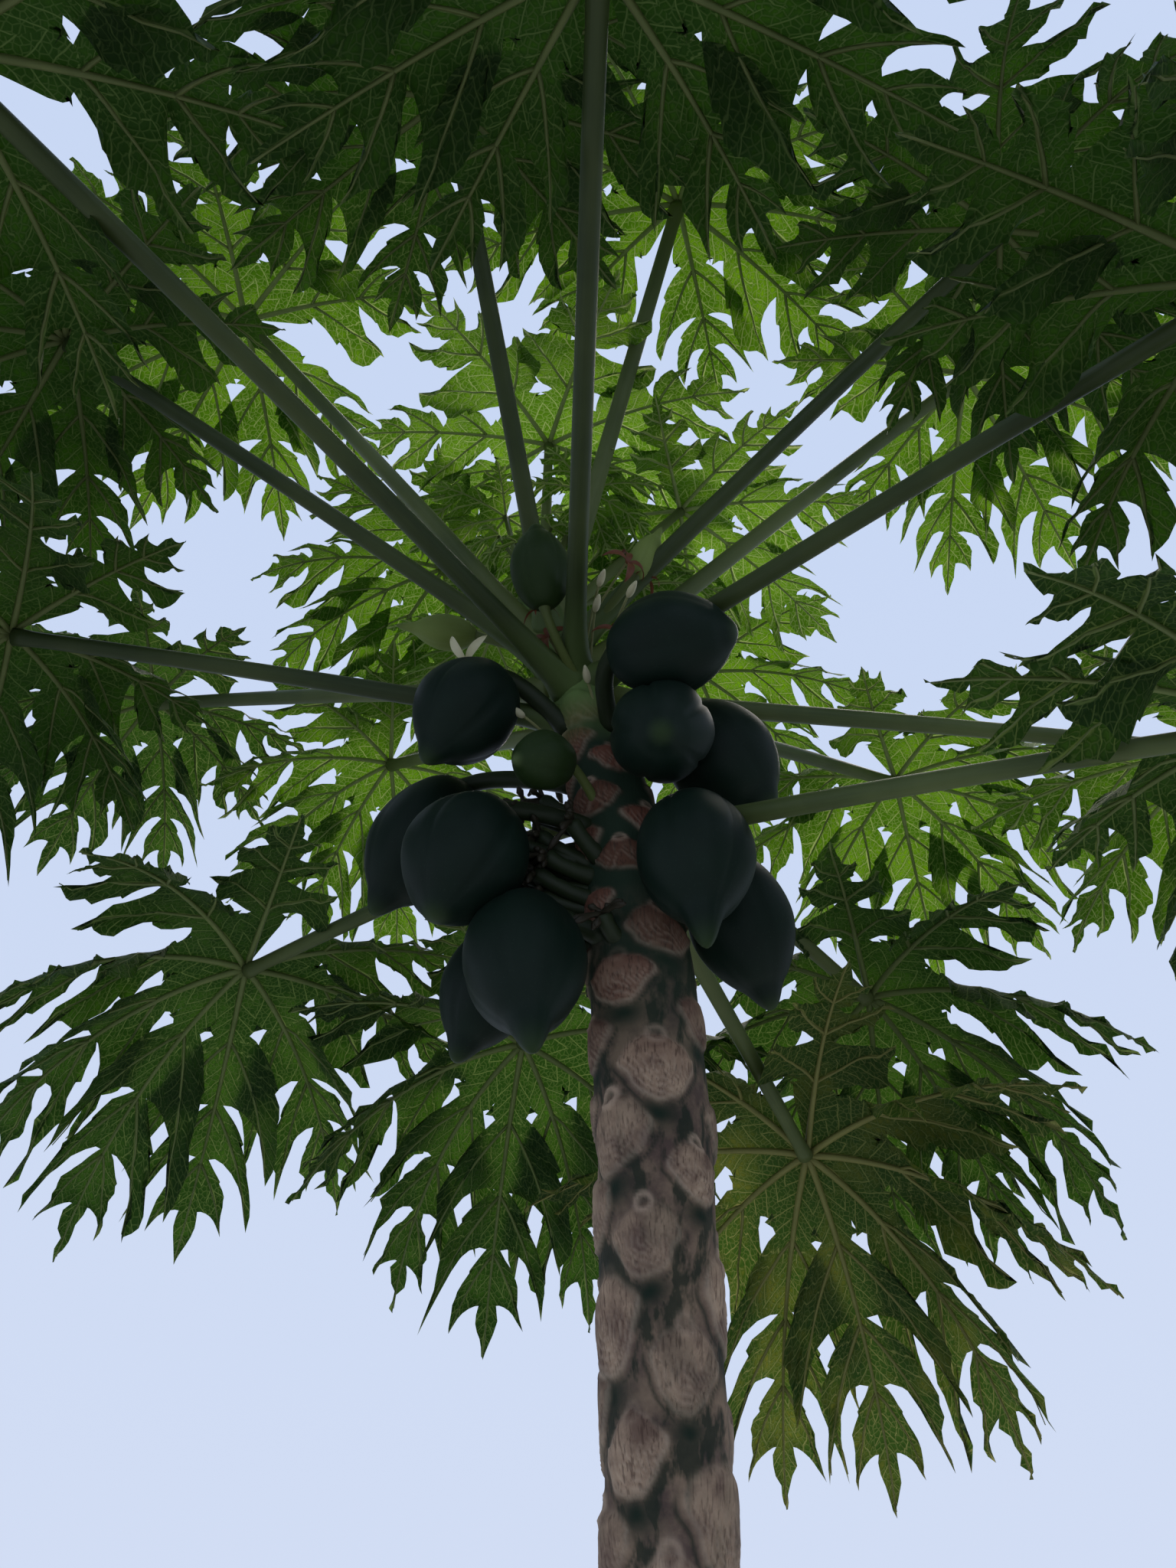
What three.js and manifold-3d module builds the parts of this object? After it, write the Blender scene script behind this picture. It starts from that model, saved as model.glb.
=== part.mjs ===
// Papaya tree: one leaning stem, a spiral crown of long-stalked, deeply cut leaves, and the
// fruit that hangs round the stem below them.
// Millimetres, +Z up. The origin is the middle of the flat cut at ground level, and -Y is the
// front, towards which the stem leans. A bearing is an angle seen from above, counted from +X
// towards +Y. A rise is an angle above the level, and a drop is below it.
import * as THREE from "three";
import { mergeVertices } from "three/addons/utils/BufferGeometryUtils.js";
import Module from "manifold-3d";

const wasm = await Module();
wasm.setup();

// Clearance between pieces that touch
const GAP = 0.3;

// Stem: its height to the growing tip, and how far it leans and bends on the way
const CROWN_HEIGHT = 2754;
const TIP_HEIGHT = 2890;
const LEAN = 450;
const LEAN_POWER = 1.8;
const LOW_DRIFT = 15;
const TOP_BEND = 112;
const TOP_BEND_POWER = 10;
const STEM_SIDES = 16;
const STEM_RINGS = 30;
const RING_EASING = 0.6;
const STEM_RADII = [
  { height: 0, radius: 104 },
  { height: 60, radius: 92 },
  { height: 150, radius: 82 },
  { height: 350, radius: 74 },
  { height: 1200, radius: 67 },
  { height: 1720, radius: 66 },
  { height: 2205, radius: 70 },
  { height: 2326, radius: 68 },
  { height: 2520, radius: 54 },
  { height: 2680, radius: 50 },
  { height: 2790, radius: 44 },
  { height: 2850, radius: 31 },
  { height: TIP_HEIGHT, radius: 15 },
];

// Leaf stalks
const STALK_SIDES = 6;
const STALK_STEPS = 4;
const STALK_OUTER_RADIUS = 10.5;
const STALK_INNER_RADIUS = 14;
const STALK_FLARE = 8;
const STALK_FLARE_LENGTH = 0.06;
const STALK_ARCH = 0.015;

// Leaf blades: the lobes of a full-grown blade, with the side lobes that each one bears
const BLADE_THICKNESS = 0.021;
const LOBE_FOLD = 32;
const BACK_DROOP = 0.6;
const SINUS_REACH = 0.24;
const HUB_FALL = 0.3;
const HUB_SEAT = 0.9;
const BACK_SINUS_REACH = 0.1;
const BACK_SINUS_TURN = 163;
const FULL_LOBES = [
  { turn: 0, size: 1, pairs: 2 },
  { turn: 38, size: 0.97, pairs: 2 },
  { turn: 76, size: 0.9, pairs: 1 },
  { turn: 112, size: 0.78, pairs: 1 },
  { turn: 146, size: 0.6, pairs: 0 },
];
const YOUNG_LOBES = [
  { turn: 0, size: 1, pairs: 1 },
  { turn: 45, size: 0.9, pairs: 1 },
  { turn: 92, size: 0.72, pairs: 1 },
  { turn: 138, size: 0.45, pairs: 0 },
];
const SHOOT_LOBES = [
  { turn: 0, size: 1, pairs: 0 },
  { turn: 60, size: 0.8, pairs: 0 },
];

// Edge of one half lobe in shares of its length: the narrow places and the tips between them
const LOBE_EDGES = [
  { narrow: [[0.45, 0.12]], tips: [] },
  { narrow: [[0.38, 0.085], [0.7, 0.07]], tips: [[0.72, 0.2]] },
  { narrow: [[0.36, 0.08], [0.61, 0.085], [0.83, 0.055]], tips: [[0.63, 0.21], [0.85, 0.155]] },
];

// Full-grown leaves: the height of the stalk's foot, its bearing, rise and length, then the
// blade's reach from hub to tip, its pitch, its droop and how far it is turned about its hub
const LEAVES = [
  { foot: 2752, bearing: -88, rise: -1, stalk: 880, reach: 450, pitch: -17, droop: 67, yaw: -5 },
  { foot: 2818, bearing: -102, rise: 31, stalk: 725, reach: 440, pitch: -10, droop: 60, yaw: 0 },
  { foot: 2830, bearing: -62, rise: 55, stalk: 740, reach: 460, pitch: -10, droop: 68, yaw: -13 },
  { foot: 2728, bearing: -125, rise: -1, stalk: 1005, reach: 500, pitch: -16, droop: 60, yaw: -10 },
  { foot: 2806, bearing: -158, rise: 46, stalk: 815, reach: 470, pitch: -10, droop: 45, yaw: 0 },
  { foot: 2766, bearing: -153, rise: 21, stalk: 840, reach: 450, pitch: -18, droop: 60, yaw: 0 },
  { foot: 2685, bearing: -172, rise: 5, stalk: 810, reach: 440, pitch: -25, droop: 60, yaw: 0 },
  { foot: 2746, bearing: 160, rise: 18, stalk: 830, reach: 378, pitch: -15, droop: 52, yaw: 10 },
  { foot: 2692, bearing: 129, rise: 31, stalk: 700, reach: 410, pitch: -22, droop: 55, yaw: 0 },
  { foot: 2565, bearing: 146, rise: 0, stalk: 705, reach: 510, pitch: -26, droop: 60, yaw: 0 },
  { foot: 2612, bearing: 103, rise: -8, stalk: 600, reach: 515, pitch: -33, droop: 63, yaw: 1 },
  { foot: 2530, bearing: 61, rise: -18, stalk: 660, reach: 540, pitch: -38, droop: 55, yaw: 0 },
  { foot: 2600, bearing: 48, rise: -3, stalk: 660, reach: 520, pitch: -28, droop: 55, yaw: -6 },
  { foot: 2510, bearing: -35, rise: -15, stalk: 785, reach: 480, pitch: -32, droop: 55, yaw: 0 },
  { foot: 2724, bearing: 1, rise: -5, stalk: 900, reach: 480, pitch: -20, droop: 60, yaw: 0 },
  { foot: 2735, bearing: 36, rise: 17, stalk: 740, reach: 440, pitch: -12, droop: 50, yaw: 0 },
  { foot: 2735, bearing: -45, rise: -7, stalk: 925, reach: 500, pitch: -20, droop: 58, yaw: 0 },
  { foot: 2764, bearing: -14, rise: 40, stalk: 880, reach: 460, pitch: 0, droop: 35, yaw: -11 },
  { foot: 2800, bearing: -37, rise: 25, stalk: 840, reach: 440, pitch: -12, droop: 60, yaw: 0 },
  { foot: 2785, bearing: 136, rise: 58, stalk: 620, reach: 420, pitch: -12, droop: 61, yaw: -7 },
  { foot: 2792, bearing: 60, rise: 42, stalk: 690, reach: 400, pitch: -22, droop: 50, yaw: 0 },
];

// Young leaves near the tip, stalk and blade in one piece, and how slim their stalks are
const YOUNG_GIRTH = 0.7;
const YOUNG_LEAVES = [
  { foot: 2850, bearing: -90, rise: 87, stalk: 450, reach: 426, pitch: 0, droop: 41, yaw: 16 },
  { foot: 2850, bearing: 11, rise: 57, stalk: 420, reach: 370, pitch: 0, droop: 38, yaw: 24 },
];

// The youngest leaves, folded and hanging from a tuft of thin stalks on the very tip
const SHOOT_LEAVES = 3;
const SHOOT_BEARING = 45;
const SHOOT_TURN = 70;
const SHOOT_STALK = 165;
const SHOOT_REACH = 100;
const SHOOT_SHORTER = 25;
const SHOOT_RISE = 70;
const SHOOT_PITCH = -20;
const SHOOT_DROOP = 75;
const SHOOT_STALK_RADIUS = 4.2;
const SHOOT_STALK_SIDES = 4;
const SHOOT_THICKNESS = 4;
const SHOOT_ROOT = 20;
const SHOOT_CONE = [[0, 0], [13, 0], [9, 36], [0, 60]];

// Fruit: the height, bearing and distance of its middle from the stem's axis, its length and
// width, the bearing and rise that its pointed end faces, and the height of its stalk's foot
const FRUIT = [
  { height: 2664, bearing: -59, out: 203, long: 178, wide: 128, faces: -18, rise: -3, foot: 2655 },
  { height: 2552, bearing: -68, out: 165, long: 160, wide: 130, faces: -95, rise: -45, foot: 2620 },
  { height: 2604, bearing: -9, out: 168, long: 172, wide: 138, faces: 5, rise: -50, foot: 2640 },
  { height: 2390, bearing: -63, out: 158, long: 192, wide: 146, faces: -80, rise: -65, foot: 2450 },
  { height: 2390, bearing: -2, out: 140, long: 194, wide: 134, faces: 50, rise: -62, foot: 2455 },
  { height: 2640, bearing: -157, out: 200, long: 168, wide: 138, faces: 170, rise: -50, foot: 2665 },
  { height: 2548, bearing: 165, out: 286, long: 205, wide: 132, faces: 165, rise: -66, foot: 2600 },
  { height: 2428, bearing: -157, out: 222, long: 184, wide: 146, faces: -160, rise: -68, foot: 2520 },
  { height: 2280, bearing: -143, out: 182, long: 222, wide: 152, faces: -110, rise: -70, foot: 2360 },
  { height: 2326, bearing: 172, out: 200, long: 176, wide: 118, faces: 160, rise: -68, foot: 2400 },
  { height: 2536, bearing: -128, out: 160, long: 94, wide: 78, faces: -140, rise: -30, foot: 2540 },
  { height: 2806, bearing: -98, out: 150, long: 122, wide: 80, faces: -103, rise: 62, foot: 2728 },
  { height: 2847, bearing: 175, out: 150, long: 100, wide: 54, faces: -175, rise: 6, foot: 2800 },
  { height: 2892, bearing: -24, out: 192, long: 92, wide: 44, faces: -20, rise: 65, foot: 2805 },
];
const FRUIT_SIDES = 10;
const FRUIT_RINGS = 7;
const FRUIT_RIDGES = 5;
const RIDGE_DEPTH = 0.035;
const FRUIT_FULLNESS = 0.1;
const FRUIT_POINT = 0.1;

// Fruit stalks: how deep they enter the fruit and how far before it they bend, in shares of
// the fruit's length, and the slimmer stalk of a small fruit
const FRUIT_STALK_RADIUS = 8;
const FRUIT_STALK_SIDES = 5;
const FRUIT_STALK_STEPS = 2;
const FRUIT_STALK_END = 0.42;
const FRUIT_STALK_BEND = 0.66;
const SMALL_FRUIT = 100;
const SMALL_STALK_RADIUS = 5.2;

const UP = new THREE.Vector3(0, 0, 1);

const bark = new THREE.MeshStandardMaterial({ color: 0x7d6a60, roughness: 0.9, metalness: 0 });
const stalkGreen = new THREE.MeshStandardMaterial({ color: 0x56704b, roughness: 0.55, metalness: 0 });
const leafGreen = new THREE.MeshStandardMaterial({ color: 0x3f6f22, roughness: 0.6, metalness: 0 });
const youngGreen = new THREE.MeshStandardMaterial({ color: 0x86a83a, roughness: 0.6, metalness: 0 });
const fruitGreen = new THREE.MeshStandardMaterial({ color: 0x20382c, roughness: 0.5, metalness: 0 });

function radians(degrees) {
  return THREE.MathUtils.degToRad(degrees);
}

// A unit vector from a bearing and a rise in degrees
function heading(bearing, rise) {
  const level = Math.cos(radians(rise));
  return new THREE.Vector3(
    level * Math.cos(radians(bearing)),
    level * Math.sin(radians(bearing)),
    Math.sin(radians(rise)),
  );
}

// Solids

function solidOf(geometry) {
  geometry.deleteAttribute("normal");
  geometry.deleteAttribute("uv");
  const merged = mergeVertices(geometry, 1e-3);
  return new wasm.Manifold(
    new wasm.Mesh({
      numProp: 3,
      vertProperties: new Float32Array(merged.attributes.position.array),
      triVerts: new Uint32Array(merged.index.array),
    }),
  );
}

function geometryOf(solid) {
  const mesh = solid.getMesh();
  const geometry = new THREE.BufferGeometry();
  geometry.setAttribute("position", new THREE.BufferAttribute(new Float32Array(mesh.vertProperties), 3));
  geometry.setIndex(new THREE.BufferAttribute(new Uint32Array(mesh.triVerts), 1));
  geometry.computeVertexNormals();
  return geometry;
}

// The largest body of a solid that a cut has left in pieces
function mainBody(solid) {
  const bodies = solid.decompose();
  return bodies.reduce((most, body) => (body.volume() > most.volume() ? body : most));
}

function clearOf(solid, neighbours) {
  return mainBody(neighbours.reduce((rest, neighbour) => rest.subtract(neighbour), solid));
}

function joined(solids) {
  return solids.reduce((whole, solid) => whole.add(solid));
}

// Moves each vertex of a three.js shape to the place that a rule gives it
function warped(geometry, place) {
  const position = geometry.attributes.position;
  for (let i = 0; i < position.count; i++) {
    const point = place(position.getX(i), position.getY(i), position.getZ(i));
    position.setXYZ(i, point.x, point.y, point.z);
  }
  return geometry;
}

// A round limb along a curve: radiusAt takes the share of the way along it
function limb(curve, radiusAt, sides, steps) {
  const shape = new THREE.CylinderGeometry(1, 1, 1, sides, steps);
  const chord = curve.getPoint(1).sub(curve.getPoint(0)).normalize();
  const across = new THREE.Vector3().crossVectors(chord, UP);
  return warped(shape, (x, y, z) => {
    const share = y + 0.5;
    const along = curve.getTangent(share);
    const sideways = across.clone().projectOnPlane(along).normalize();
    const other = new THREE.Vector3().crossVectors(sideways, along);
    const radius = radiusAt(share);
    return curve
      .getPoint(share)
      .addScaledVector(sideways, x * radius)
      .addScaledVector(other, z * radius);
  });
}

// Stem

function stemAxis(height) {
  const share = height / CROWN_HEIGHT;
  return new THREE.Vector3(
    LOW_DRIFT * share - TOP_BEND * share ** TOP_BEND_POWER,
    -LEAN * share ** LEAN_POWER,
    height,
  );
}

function stemRadius(height) {
  const above = STEM_RADII.findIndex((station) => station.height >= height);
  if (above <= 0) return STEM_RADII[0].radius;
  const low = STEM_RADII[above - 1];
  const high = STEM_RADII[above];
  const share = (height - low.height) / (high.height - low.height);
  return THREE.MathUtils.lerp(low.radius, high.radius, share);
}

// Rings lie closer together towards the root flare and the tip
function stem(extra) {
  const shape = new THREE.CylinderGeometry(1, 1, 1, STEM_SIDES, STEM_RINGS);
  return warped(shape, (x, y, z) => {
    const even = y + 0.5;
    const eased = (1 - Math.cos(Math.PI * even)) / 2;
    const height = TIP_HEIGHT * THREE.MathUtils.lerp(even, eased, RING_EASING);
    const radius = stemRadius(height) + extra;
    const lift = even === 1 ? extra : 0;
    return stemAxis(height).add(new THREE.Vector3(x * radius, -z * radius, lift));
  });
}

// Blades

// A place on a lobe: along and aside are shares of the lobe's length, left is 1 or -1
function onLobe(leaf, lobe, along, aside, left) {
  const length = leaf.reach * lobe.size;
  const forward = Math.cos(radians(lobe.turn));
  const bend = radians(leaf.droop) * THREE.MathUtils.lerp(BACK_DROOP, 1, (1 + forward) / 2);
  const start = radians(leaf.pitch) * forward;
  const now = start - bend * along;
  const out = ((Math.sin(start) - Math.sin(now)) * length) / bend;
  const lift = ((Math.cos(now) - Math.cos(start)) * length) / bend;
  const direction = leaf.bearing + leaf.yaw + lobe.turn;
  const spread = aside * length;
  return heading(direction, 0)
    .multiplyScalar(out)
    .addScaledVector(UP, lift - spread * Math.sin(radians(LOBE_FOLD)))
    .addScaledVector(heading(direction + 90 * left, 0), spread * Math.cos(radians(LOBE_FOLD)))
    .add(leaf.hub);
}

function allLobes(lobes) {
  const right = lobes.slice(1).reverse().map((lobe) => ({ ...lobe, turn: -lobe.turn }));
  return [...right, ...lobes];
}

// The blade as one open surface: the hub, then each lobe's midrib and its two edges
function bladeSurface(leaf, lobes) {
  const points = [leaf.hub.clone()];
  const faces = [];
  const add = (point) => points.push(point) - 1;
  const between = (one, other) => ({ turn: (one.turn + other.turn) / 2, size: (one.size + other.size) / 2 });
  const around = allLobes(lobes);
  const last = around.length - 1;
  const sinuses = [];
  const addSinus = (place, reach) => sinuses.push(add(onLobe(leaf, place, reach, 0, 1)));
  addSinus({ turn: -BACK_SINUS_TURN, size: around[0].size }, BACK_SINUS_REACH);
  for (let i = 0; i < last; i++) addSinus(between(around[i], around[i + 1]), SINUS_REACH);
  addSinus({ turn: BACK_SINUS_TURN, size: around[last].size }, BACK_SINUS_REACH);

  around.forEach((lobe, i) => {
    const edge = LOBE_EDGES[lobe.pairs];
    const midrib = edge.narrow.map(([along]) => add(onLobe(leaf, lobe, along, 0, 1)));
    const end = add(onLobe(leaf, lobe, 1, 0, 1));
    for (const left of [-1, 1]) {
      const face = (a, b, c) => faces.push(left > 0 ? [a, c, b] : [a, b, c]);
      const narrow = edge.narrow.map(([along, aside]) => add(onLobe(leaf, lobe, along, aside, left)));
      const tips = edge.tips.map(([along, aside]) => add(onLobe(leaf, lobe, along, aside, left)));
      const sinus = sinuses[left > 0 ? i + 1 : i];
      face(0, narrow[0], sinus);
      face(0, midrib[0], narrow[0]);
      tips.forEach((tip, k) => {
        face(midrib[k], narrow[k + 1], narrow[k]);
        face(midrib[k], midrib[k + 1], narrow[k + 1]);
        face(narrow[k], narrow[k + 1], tip);
      });
      face(midrib[lobe.pairs], end, narrow[lobe.pairs]);
    }
  });
  return { points, faces };
}

// Gives an open surface a thickness: an upper and a lower skin, and a wall along the edge
function thickened({ points, faces }, thickness) {
  const skin = new THREE.BufferGeometry().setFromPoints(points);
  skin.setIndex(faces.flat());
  skin.computeVertexNormals();
  const normals = skin.attributes.normal;
  const normalAt = (i) => new THREE.Vector3().fromBufferAttribute(normals, i);
  const offset = (side) =>
    points.map((point, i) => point.clone().addScaledVector(normalAt(i), (side * thickness) / 2));
  const below = points.length;
  const walls = new Map();
  for (const [a, b, c] of faces)
    for (const [from, to] of [[a, b], [b, c], [c, a]]) {
      const back = `${to},${from}`;
      if (walls.has(back)) walls.delete(back);
      else walls.set(`${from},${to}`, [from, to]);
    }
  const index = faces.flatMap(([a, b, c]) => [a, b, c, below + a, below + c, below + b]);
  for (const [from, to] of walls.values())
    index.push(from, below + from, below + to, from, below + to, to);
  const solid = new THREE.BufferGeometry().setFromPoints([...offset(1), ...offset(-1)]);
  solid.setIndex(index);
  return solid;
}

// Stalks

function hubOf(leaf) {
  return heading(leaf.bearing, leaf.rise).multiplyScalar(leaf.stalk).add(stemAxis(leaf.foot));
}

function bladeThickness(leaf) {
  return leaf.reach * BLADE_THICKNESS;
}

// The stalk's line starts inside the stem and ends just under the blade's hub, where the
// blade falls away on all sides like an umbrella
function stalkCurve(leaf) {
  const foot = stemAxis(leaf.foot).addScaledVector(heading(leaf.bearing, 0), stemRadius(leaf.foot) / 2);
  const bladeUp = heading(leaf.bearing, leaf.pitch + 90);
  const slope = new THREE.Vector3().subVectors(leaf.hub, foot).normalize();
  const radius = STALK_OUTER_RADIUS * leaf.girth;
  const topEdge = Math.sqrt(1 - slope.dot(bladeUp) ** 2);
  const fall = Math.tan(radians(leaf.droop * HUB_FALL)) * (1 - topEdge);
  const under = bladeThickness(leaf) / 2 + leaf.seatGap + radius * (topEdge + fall);
  const end = leaf.hub.clone().addScaledVector(bladeUp, -under);
  const middle = foot.clone().lerp(end, 0.5).addScaledVector(UP, STALK_ARCH * leaf.stalk);
  return new THREE.QuadraticBezierCurve3(foot, middle, end);
}

function stalkRadius(leaf, share) {
  const even = THREE.MathUtils.lerp(STALK_INNER_RADIUS, STALK_OUTER_RADIUS, share);
  return leaf.girth * (even + STALK_FLARE * Math.exp(-share / STALK_FLARE_LENGTH));
}

function stalk(leaf, extra) {
  const radiusAt = (share) => stalkRadius(leaf, share) + extra;
  return solidOf(limb(stalkCurve(leaf), radiusAt, STALK_SIDES, STALK_STEPS));
}

function blade(leaf, lobes) {
  return solidOf(thickened(bladeSurface(leaf, lobes), bladeThickness(leaf)));
}

// Fruit

function fruitBody(fruit, extra) {
  const scale = fruit.long / 2 + extra;
  const axis = heading(fruit.faces, fruit.rise);
  const across = new THREE.Vector3().crossVectors(axis, UP).normalize();
  const other = new THREE.Vector3().crossVectors(across, axis);
  const middle = stemAxis(fruit.height).addScaledVector(heading(fruit.bearing, 0), fruit.out);
  const shape = new THREE.SphereGeometry(1, FRUIT_SIDES, FRUIT_RINGS);
  return warped(shape, (x, y, z) => {
    const ridge = 1 - RIDGE_DEPTH * (1 - Math.cos(FRUIT_RIDGES * Math.atan2(z, x)));
    const girth = (fruit.wide / 2 + extra) * ridge * (1 + FRUIT_FULLNESS * y * (1 - y * y));
    const point = y === 1 ? FRUIT_POINT : 0;
    return middle
      .clone()
      .addScaledVector(axis, (y + point) * scale)
      .addScaledVector(across, x * girth)
      .addScaledVector(other, z * girth);
  });
}

function fruitStalk(fruit) {
  const axis = heading(fruit.faces, fruit.rise);
  const middle = stemAxis(fruit.height).addScaledVector(heading(fruit.bearing, 0), fruit.out);
  const inside = middle.clone().addScaledVector(axis, -fruit.long * FRUIT_STALK_END);
  const outside = middle.clone().addScaledVector(axis, -fruit.long * FRUIT_STALK_BEND);
  const foot = stemAxis(fruit.foot).addScaledVector(heading(fruit.bearing, 0), stemRadius(fruit.foot) / 2);
  const curve = new THREE.QuadraticBezierCurve3(foot, outside, inside);
  const radius = fruit.long < SMALL_FRUIT ? SMALL_STALK_RADIUS : FRUIT_STALK_RADIUS;
  return limb(curve, () => radius, FRUIT_STALK_SIDES, FRUIT_STALK_STEPS);
}

// Assembly: each piece is cut clear of the grown shape of the pieces that carry or press it

const group = new THREE.Group();

function place(name, solid, material) {
  const mesh = new THREE.Mesh(geometryOf(solid), material);
  mesh.name = name;
  group.add(mesh);
}

function twoDigits(number) {
  return String(number).padStart(2, "0");
}

const stemSolid = solidOf(stem(0));
const stemCutter = solidOf(stem(GAP));
place("trunk", stemSolid, bark);

const carriers = [stemCutter];
for (const [i, leaf] of LEAVES.entries()) {
  leaf.hub = hubOf(leaf);
  leaf.girth = 1;
  leaf.seatGap = HUB_SEAT;
  place(`leaf_${twoDigits(i + 1)}_stalk`, clearOf(stalk(leaf, 0), carriers), stalkGreen);
  place(`leaf_${twoDigits(i + 1)}_blade`, blade(leaf, FULL_LOBES), leafGreen);
  carriers.push(stalk(leaf, GAP));
}

for (const [i, leaf] of YOUNG_LEAVES.entries()) {
  leaf.hub = hubOf(leaf);
  leaf.girth = YOUNG_GIRTH;
  leaf.seatGap = -bladeThickness(leaf);
  const whole = joined([stalk(leaf, 0), blade(leaf, YOUNG_LOBES)]);
  place(`young_leaf_${i + 1}`, clearOf(whole, carriers), youngGreen);
  carriers.push(stalk(leaf, GAP));
}

// The shoot: a short cone on the stem's flat tip, and the folded leaves that stand on it
const tip = stemAxis(TIP_HEIGHT);
const cone = new THREE.LatheGeometry(
  SHOOT_CONE.map(([radius, height]) => new THREE.Vector2(radius, height)),
  STALK_SIDES,
);
cone.rotateX(Math.PI / 2).translate(tip.x, tip.y, tip.z + GAP);
const shoot = [solidOf(cone)];
for (let i = 0; i < SHOOT_LEAVES; i++) {
  const leaf = {
    foot: TIP_HEIGHT,
    bearing: SHOOT_BEARING + SHOOT_TURN * i,
    rise: SHOOT_RISE,
    stalk: SHOOT_STALK - SHOOT_SHORTER * i,
    reach: SHOOT_REACH,
    pitch: SHOOT_PITCH,
    droop: SHOOT_DROOP,
    yaw: 0,
  };
  leaf.hub = hubOf(leaf).addScaledVector(UP, SHOOT_ROOT);
  const curve = new THREE.LineCurve3(tip.clone().addScaledVector(UP, SHOOT_ROOT), leaf.hub);
  shoot.push(solidOf(limb(curve, () => SHOOT_STALK_RADIUS, SHOOT_STALK_SIDES, 1)));
  shoot.push(solidOf(thickened(bladeSurface(leaf, SHOOT_LOBES), SHOOT_THICKNESS)));
}
place("crown_shoot", clearOf(joined(shoot), carriers), youngGreen);

const pressed = [];
for (const [i, fruit] of FRUIT.entries()) {
  const whole = joined([solidOf(fruitBody(fruit, 0)), solidOf(fruitStalk(fruit))]);
  place(`fruit_${twoDigits(i + 1)}`, clearOf(whole, [...carriers, ...pressed]), fruitGreen);
  pressed.push(solidOf(fruitBody(fruit, GAP)));
}

export default group;
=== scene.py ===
import math

import bmesh
import bpy
import numpy as np
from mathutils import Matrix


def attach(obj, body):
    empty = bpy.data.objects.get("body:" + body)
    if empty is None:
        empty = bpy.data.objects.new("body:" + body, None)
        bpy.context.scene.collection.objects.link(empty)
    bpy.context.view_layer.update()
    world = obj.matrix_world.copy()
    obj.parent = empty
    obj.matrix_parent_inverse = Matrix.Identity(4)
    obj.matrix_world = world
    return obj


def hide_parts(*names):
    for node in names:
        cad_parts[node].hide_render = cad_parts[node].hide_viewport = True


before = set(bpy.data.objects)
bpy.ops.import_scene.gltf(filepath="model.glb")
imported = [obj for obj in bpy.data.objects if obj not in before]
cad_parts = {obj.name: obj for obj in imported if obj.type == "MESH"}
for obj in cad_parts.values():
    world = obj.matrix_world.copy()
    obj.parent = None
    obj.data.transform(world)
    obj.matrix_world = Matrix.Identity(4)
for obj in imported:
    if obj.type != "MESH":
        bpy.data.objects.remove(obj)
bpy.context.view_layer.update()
up = np.array([0.0, 0.0, 1.0])


# Nodes and colours

def colourOf(hexCode):
    parts = [int(hexCode[i:i + 2], 16) / 255 for i in (1, 3, 5)]
    return [c / 12.92 if c <= 0.04045 else ((c + 0.055) / 1.055) ** 2.4 for c in parts] + [1]


# Adds a node: settings are its own properties, and inputs holds a value, a hex colour or a
# socket to link for each of its inputs
def addNode(tree, kind, inputs=None, **settings):
    made = tree.nodes.new("ShaderNode" + kind)
    for name, value in settings.items():
        setattr(made, name, value)
    for name, value in (inputs or {}).items():
        if isinstance(value, bpy.types.NodeSocket):
            tree.links.new(value, made.inputs[name])
        elif isinstance(value, str):
            made.inputs[name].default_value = colourOf(value)
        else:
            made.inputs[name].default_value = value
    return made


def startMaterial(name, roughness, specular):
    material = bpy.data.materials.new(name)
    material.use_nodes = True
    tree = material.node_tree
    surface = tree.nodes["Principled BSDF"]
    surface.inputs["Roughness"].default_value = roughness
    surface.inputs["Specular IOR Level"].default_value = specular
    return material, tree, surface


# Camera and studio

view = {
    "place": (-0.075, -1.60, 1.50),
    "lookUp": 42.5,
    "lens": 27.03,
    "sensor": 36.0,
    "nearest": 0.02,
}

studio = {
    "floorRadius": 9.0,
    "floorSides": 96,
    "floorColour": "#bbbab5",
    "skyTop": "#c9d8f4",
    "skyLow": "#d5dff4",
    "skyFrom": -0.1,  # share of straight up where the low colour starts to change
    "skyTo": 0.8,
    "skyStrength": 1.0,
    "lampPlace": (0.8, 2.2, 7.0),
    "lampTilt": (-20, 5, 0),
    "lampSize": 5.0,
    "lampPower": 330,
    "lampColour": "#fff4e6",
}


def makeCamera():
    data = bpy.data.cameras.new("camera")
    data.sensor_fit = "VERTICAL"
    data.sensor_height = view["sensor"]
    data.lens = view["lens"]
    data.clip_start = view["nearest"]
    camera = bpy.data.objects.new("camera", data)
    camera.location = view["place"]
    camera.rotation_euler = (math.radians(90 + view["lookUp"]), 0, 0)
    bpy.context.collection.objects.link(camera)
    bpy.context.scene.camera = camera


# Seamless backdrop paper: matte, so the floor takes soft shadows and shows no gloss
def backdropPaper():
    material, _, surface = startMaterial("backdrop_paper", 0.95, 0.1)
    surface.inputs["Base Color"].default_value = colourOf(studio["floorColour"])
    return material


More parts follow.
